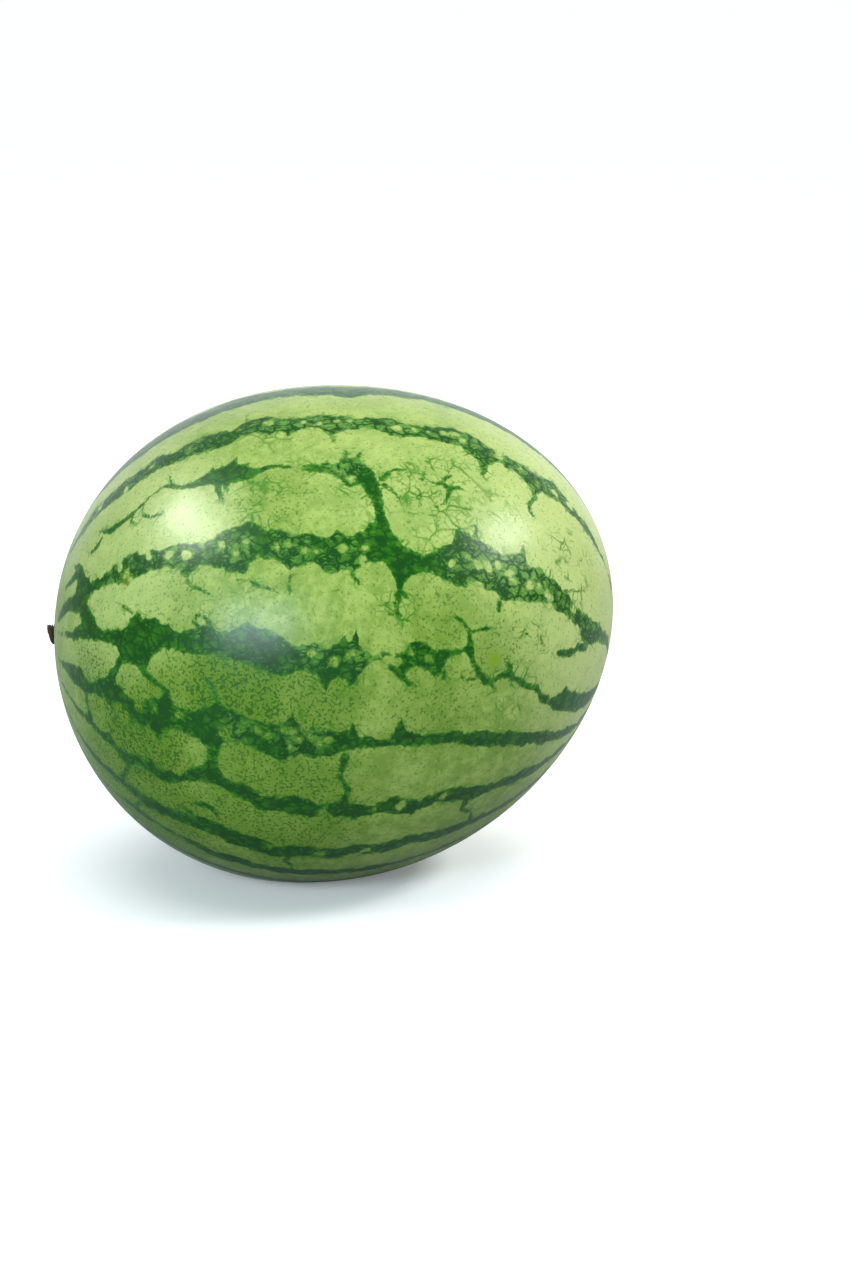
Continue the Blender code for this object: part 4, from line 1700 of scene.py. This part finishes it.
@dataclass
class StemStub:
    """The dry stub of the stem: a corky collar, a five-ribbed neck and a slanting torn end.

    Each ring is how far out it is from the last one, and its radius. Each tear is a size and a height.
    """

    growth: Growth
    sides: int = 60
    sunk: float = 0.0009
    collar_radius: float = 0.0074
    rings: tuple[Point, ...] = (
        (0.0008, 0.0071), (0.0006, 0.0063), (0.0007, 0.0055), (0.0008, 0.0051), (0.0007, 0.0050),
        (0.0006, 0.0052), (0.0004, 0.0052),
    )
    rim: float = 0.0009
    pith_depth: float = 0.0007
    pith_rings: int = 2
    pith_ring: float = 0.28
    pith_edge: Point = (0.0030, 0.0046)
    pith_from: Point = (0.8, 0.95)
    ribs: int = 5
    rib_height: float = 0.10
    rib_start: float = 0.12
    cut_slant: float = 0.32
    fibre_height: float = 0.00022
    fibre_run: float = 1.2
    fibre_round: float = 5.0
    coarse_fibre: float = 0.55
    fine_fibre: float = 0.25
    fine_fibre_share: float = 0.6
    fibre_fade_radius: float = 0.004
    tears: tuple[Point, ...] = ((0.0016, 0.0005), (0.0006, 0.00022))
    torn_from: Point = (0.75, 1.0)

    def build(self) -> bpy.types.Object:
        """Extrudes the stub from its collar, then ribs it and tears its end.

        Returns:
            The finished piece.
        """
        _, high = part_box("stem_stub")
        middle = self.growth.origin.z + float(self.growth.middle_height(-self.growth.half_length))
        start = high.x + self.sunk
        outwards = Vector((-1.0, 0.0, 0.0))
        bpy.ops.object.select_all(action="DESELECT")
        bpy.ops.mesh.primitive_cylinder_add(
            vertices=self.sides,
            radius=self.collar_radius,
            depth=self.sunk,
            location=(start - self.sunk / 2.0, 0.0, middle),
            rotation=(0.0, -pi / 2.0, 0.0),
        )
        piece = bpy.context.object
        piece.name = "dry_stem_stub"
        bpy.ops.object.transform_apply(location=True, rotation=True, scale=True)
        select_faces_facing(piece, outwards)
        radius = self.collar_radius
        centre = Vector((start - self.sunk, 0.0, middle))
        for step, ring_radius in self.rings:
            bpy.ops.mesh.extrude_region_move(TRANSFORM_OT_translate={"value": outwards * step})
            centre += outwards * step
            shrink = ring_radius / radius
            bpy.ops.transform.resize(value=(1.0, shrink, shrink), center_override=centre)
            radius = ring_radius
        bpy.ops.mesh.inset(thickness=self.rim)
        bpy.ops.mesh.extrude_region_move(TRANSFORM_OT_translate={"value": -outwards * self.pith_depth})
        for _ in range(self.pith_rings):
            bpy.ops.mesh.inset(thickness=radius * self.pith_ring)
        bpy.ops.object.mode_set(mode="OBJECT")
        refined(piece, 2)
        self.grow_fibres(piece, Vector((high.x, 0.0, middle)), high.x - centre.x)
        bpy.ops.object.shade_smooth()
        return piece

    def grow_fibres(self, piece: bpy.types.Object, base: Vector, length: float) -> None:
        """Raises ribs and fibres on the stub and slants its end.

        Args:
            piece: The extruded stub.
            base: The middle of its foot.
            length: How long it is.
        """
        points = points_of(piece) - np.array(base)
        share = np.clip(-points[:, 0] / length, 0.0, 1.0)
        radius = np.hypot(points[:, 1], points[:, 2])
        around = np.arctan2(points[:, 2], points[:, 1])
        on_side = np.stack([np.cos(around), np.sin(around)], axis=-1) * self.fibre_round
        on_side = np.column_stack([share * self.fibre_run, on_side])
        fibres = hashed_noise(on_side, self.coarse_fibre)
        fibres += self.fine_fibre_share * hashed_noise(on_side, self.fine_fibre)
        swell = np.sin(pi * (self.rib_start + (1.0 - self.rib_start) * share))
        ribbed = 1.0 + self.rib_height * np.cos(self.ribs * around) * swell
        fibre_height = self.fibre_height * np.clip(radius / self.fibre_fade_radius, 0.0, 1.0)
        grown = radius * ribbed + fibre_height * fibres
        pith = 1.0 - smooth_step(*self.pith_edge, radius)
        torn = sum(hashed_noise(points, size) * height for size, height in self.tears)
        points[:, 1] = grown * np.cos(around)
        points[:, 2] = grown * np.sin(around)
        points[:, 0] -= share * self.cut_slant * points[:, 2] - torn * smooth_step(*self.torn_from, share)
        move_points(piece, points + np.array(base))
        lay_over(piece, "pith", pith * smooth_step(*self.pith_from, share))

    def dress(self, piece: bpy.types.Object, dry_stem: bpy.types.Material) -> None:
        """Gives the stub its finish and its place in the frame.

        Args:
            piece: The finished stub.
            dry_stem: Its material.
        """
        piece.data.materials.append(dry_stem)
        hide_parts("stem_stub")
        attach(piece, ROOT_BODY)


@dataclass
class BlossomScar:
    """The corky button that the flower left, in its dimple near the far end.

    Its lip, shoulder and pit's rings are shares of its radius. Each bump is a size and a height.
    """

    growth: Growth
    sides: int = 36
    radius: float = 0.0040
    sunk: float = 0.0010
    crown: float = 0.0005
    pit: float = 0.0007
    lip: float = 0.15
    shoulder: float = 0.3
    pit_wall: float = 0.12
    pit_floor: float = 0.2
    bumps: tuple[Point, ...] = ((0.0013, 0.00018), (0.0005, 0.00008))
    dark_middle: Point = (0.0009, 0.0030)

    def build(self) -> bpy.types.Object:
        """Extrudes a low button with a pit, then roughens it.

        Returns:
            The finished piece.
        """
        facing = self.growth.blossom_facing.normalized()
        scar = Vector(self.growth.blossom_scar()) + self.growth.origin
        seat = scar - self.growth.blossom_facing * self.growth.blossom_scar_depth
        bpy.ops.object.select_all(action="DESELECT")
        bpy.ops.mesh.primitive_cylinder_add(
            vertices=self.sides,
            radius=self.radius,
            depth=self.sunk,
            location=seat - facing * self.sunk / 2.0,
            rotation=facing.to_track_quat("Z", "Y").to_euler(),
        )
        piece = bpy.context.object
        piece.name = "blossom_scar"
        bpy.ops.object.transform_apply(location=True, rotation=True, scale=True)
        select_faces_facing(piece, facing)
        bpy.ops.mesh.inset(thickness=self.radius * self.lip)
        bpy.ops.transform.translate(value=facing * self.crown)
        bpy.ops.mesh.inset(thickness=self.radius * self.shoulder)
        bpy.ops.mesh.inset(thickness=self.radius * self.pit_wall)
        bpy.ops.transform.translate(value=-facing * self.pit)
        bpy.ops.mesh.inset(thickness=self.radius * self.pit_floor)
        bpy.ops.object.mode_set(mode="OBJECT")
        refined(piece, 2)
        points = points_of(piece)
        rough = sum(hashed_noise(points, size) * height for size, height in self.bumps)
        move_points(piece, points + rough[:, None] * np.array(facing))
        away = np.linalg.norm(points - np.array(seat), axis=1)
        lay_over(piece, "pith", 1.0 - smooth_step(*self.dark_middle, away))
        bpy.ops.object.shade_smooth()
        return piece

    def dress(self, piece: bpy.types.Object, dry_stem: bpy.types.Material) -> None:
        """Gives the scar its finish and its place in the frame.

        Args:
            piece: The finished scar.
            dry_stem: Its material.
        """
        piece.data.materials.append(dry_stem)
        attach(piece, ROOT_BODY)


# --------------------------------------------------------------------------------------------------
# The studio
# --------------------------------------------------------------------------------------------------


@dataclass(frozen=True)
class SoftBox:
    """A soft rectangular light that faces the fruit's middle.

    Attributes:
        name: What the light is called.
        offset: Where it hangs, from the fruit's middle.
        width: Its width in metres.
        height: Its height in metres.
        watts: Its power.
        colour: Its colour.
        lights_all_round: False for a window that only shows as a gleam in the rind.
    """

    name: str
    offset: Knot
    width: float
    height: float
    watts: float
    colour: Knot
    lights_all_round: bool = True

    def hang(self, middle: Vector) -> None:
        """Hangs the light round this middle.

        Args:
            middle: The point that it lights.
        """
        place = middle + Vector(self.offset)
        turn = (middle - place).to_track_quat("-Z", "Y").to_euler()
        bpy.ops.object.light_add(type="AREA", location=place, rotation=turn)
        light = bpy.context.object
        light.name = self.name
        light.data.shape = "RECTANGLE"
        light.data.size = self.width
        light.data.size_y = self.height
        light.data.energy = self.watts
        light.data.color = self.colour
        light.visible_camera = False
        light.visible_diffuse = self.lights_all_round


@dataclass
class Studio:
    """The pale floor, the soft light and the camera."""

    camera_place: Knot = (0.0489, -1.4717, 0.4585)
    camera_dip: float = 13.0
    lens: float = 84.375
    floor_size: float = 80.0
    sky_colour: Knot = (0.93, 0.96, 1.0)
    sky_strength: float = 0.26
    overhead_strength: float = 2.2
    overhead_spread: float = 60.0
    overhead_tilt: float = 2.0
    soft_boxes: tuple[SoftBox, ...] = (
        SoftBox("left_window", (-0.87, -0.17, 0.96), 0.70, 0.28, 18.0, (1.0, 1.0, 1.0), False),
        SoftBox("right_window", (1.04, -0.15, 0.77), 0.50, 0.28, 11.0, (1.0, 1.0, 1.0)),
        SoftBox("front_fill", (-0.49, -1.17, 0.38), 0.62, 0.38, 15.0, (0.74, 0.87, 1.0)),
        SoftBox("back_wall", (0.0, 1.70, 0.45), 3.20, 1.60, 15.0, (0.92, 0.97, 1.0)),
    )

    def build(self) -> None:
        """Lays the floor and hangs the lights round the fruit."""
        low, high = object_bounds()
        self.lay_floor()
        for soft_box in self.soft_boxes:
            soft_box.hang((low + high) / 2.0)
        self.hang_overhead()
        self.paint_sky()
        self.place_camera()

    def lay_floor(self) -> None:
        """Lays the pale floor."""
        bpy.ops.object.select_all(action="DESELECT")
        bpy.ops.mesh.primitive_plane_add(size=self.floor_size)
        floor = bpy.context.object
        floor.name = "floor"
        floor.data.materials.append(FloorFinish().make())
        floor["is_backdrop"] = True

    def hang_overhead(self) -> None:
        """Hangs a broad even light over the whole floor, a little behind the fruit."""
        bpy.ops.object.light_add(type="SUN", rotation=(radians(self.overhead_tilt), 0.0, 0.0))
        light = bpy.context.object
        light.name = "overhead"
        light.data.energy = self.overhead_strength
        light.data.angle = radians(self.overhead_spread)
        light.visible_glossy = False

    def paint_sky(self) -> None:
        """Lights the whole scene softly from all round."""
        world = bpy.data.worlds.new("soft_sky")
        world.use_nodes = True
        background = world.node_tree.nodes["Background"]
        background.inputs["Color"].default_value = (*self.sky_colour, 1.0)
        background.inputs["Strength"].default_value = self.sky_strength
        bpy.context.scene.world = world

    def place_camera(self) -> None:
        """Puts the camera a little above the fruit, looking slightly down."""
        upright = radians(90.0 - self.camera_dip)
        bpy.ops.object.camera_add(location=self.camera_place, rotation=(upright, 0.0, 0.0))
        camera = bpy.context.object
        camera.data.lens = self.lens
        bpy.context.scene.camera = camera
        bpy.context.scene.view_settings.view_transform = "Standard"


def main() -> None:
    """Builds the watermelon and its studio, and reports each piece."""
    logging.basicConfig(level=logging.INFO, format="%(message)s")
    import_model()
    fruit_low, fruit_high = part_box("fruit")
    growth = Growth()
    growth.origin = Vector((fruit_high.x - growth.half_length, 0.0, fruit_low.z - growth.floor_height()))

    fruit = Fruit(growth)
    rind = fruit.build()
    fruit.dress(rind, RindFinish().make())
    log.info("%s: %d faces", rind.name, len(rind.data.polygons))

    stub = StemStub(growth)
    stem = stub.build()
    stub.dress(stem, DryStemFinish().make("dry_stem", srgb(128, 104, 66)))
    log.info("%s: %d faces", stem.name, len(stem.data.polygons))

    scar = BlossomScar(growth)
    button = scar.build()
    cork = DryStemFinish(dark=srgb(84, 66, 38), light=srgb(176, 154, 104))
    scar.dress(button, cork.make("corky_scar", srgb(70, 54, 30)))
    log.info("%s: %d faces", button.name, len(button.data.polygons))

    Studio().build()
    log.info("studio: floor, lights and camera")


if __name__ == "__main__":
    main()
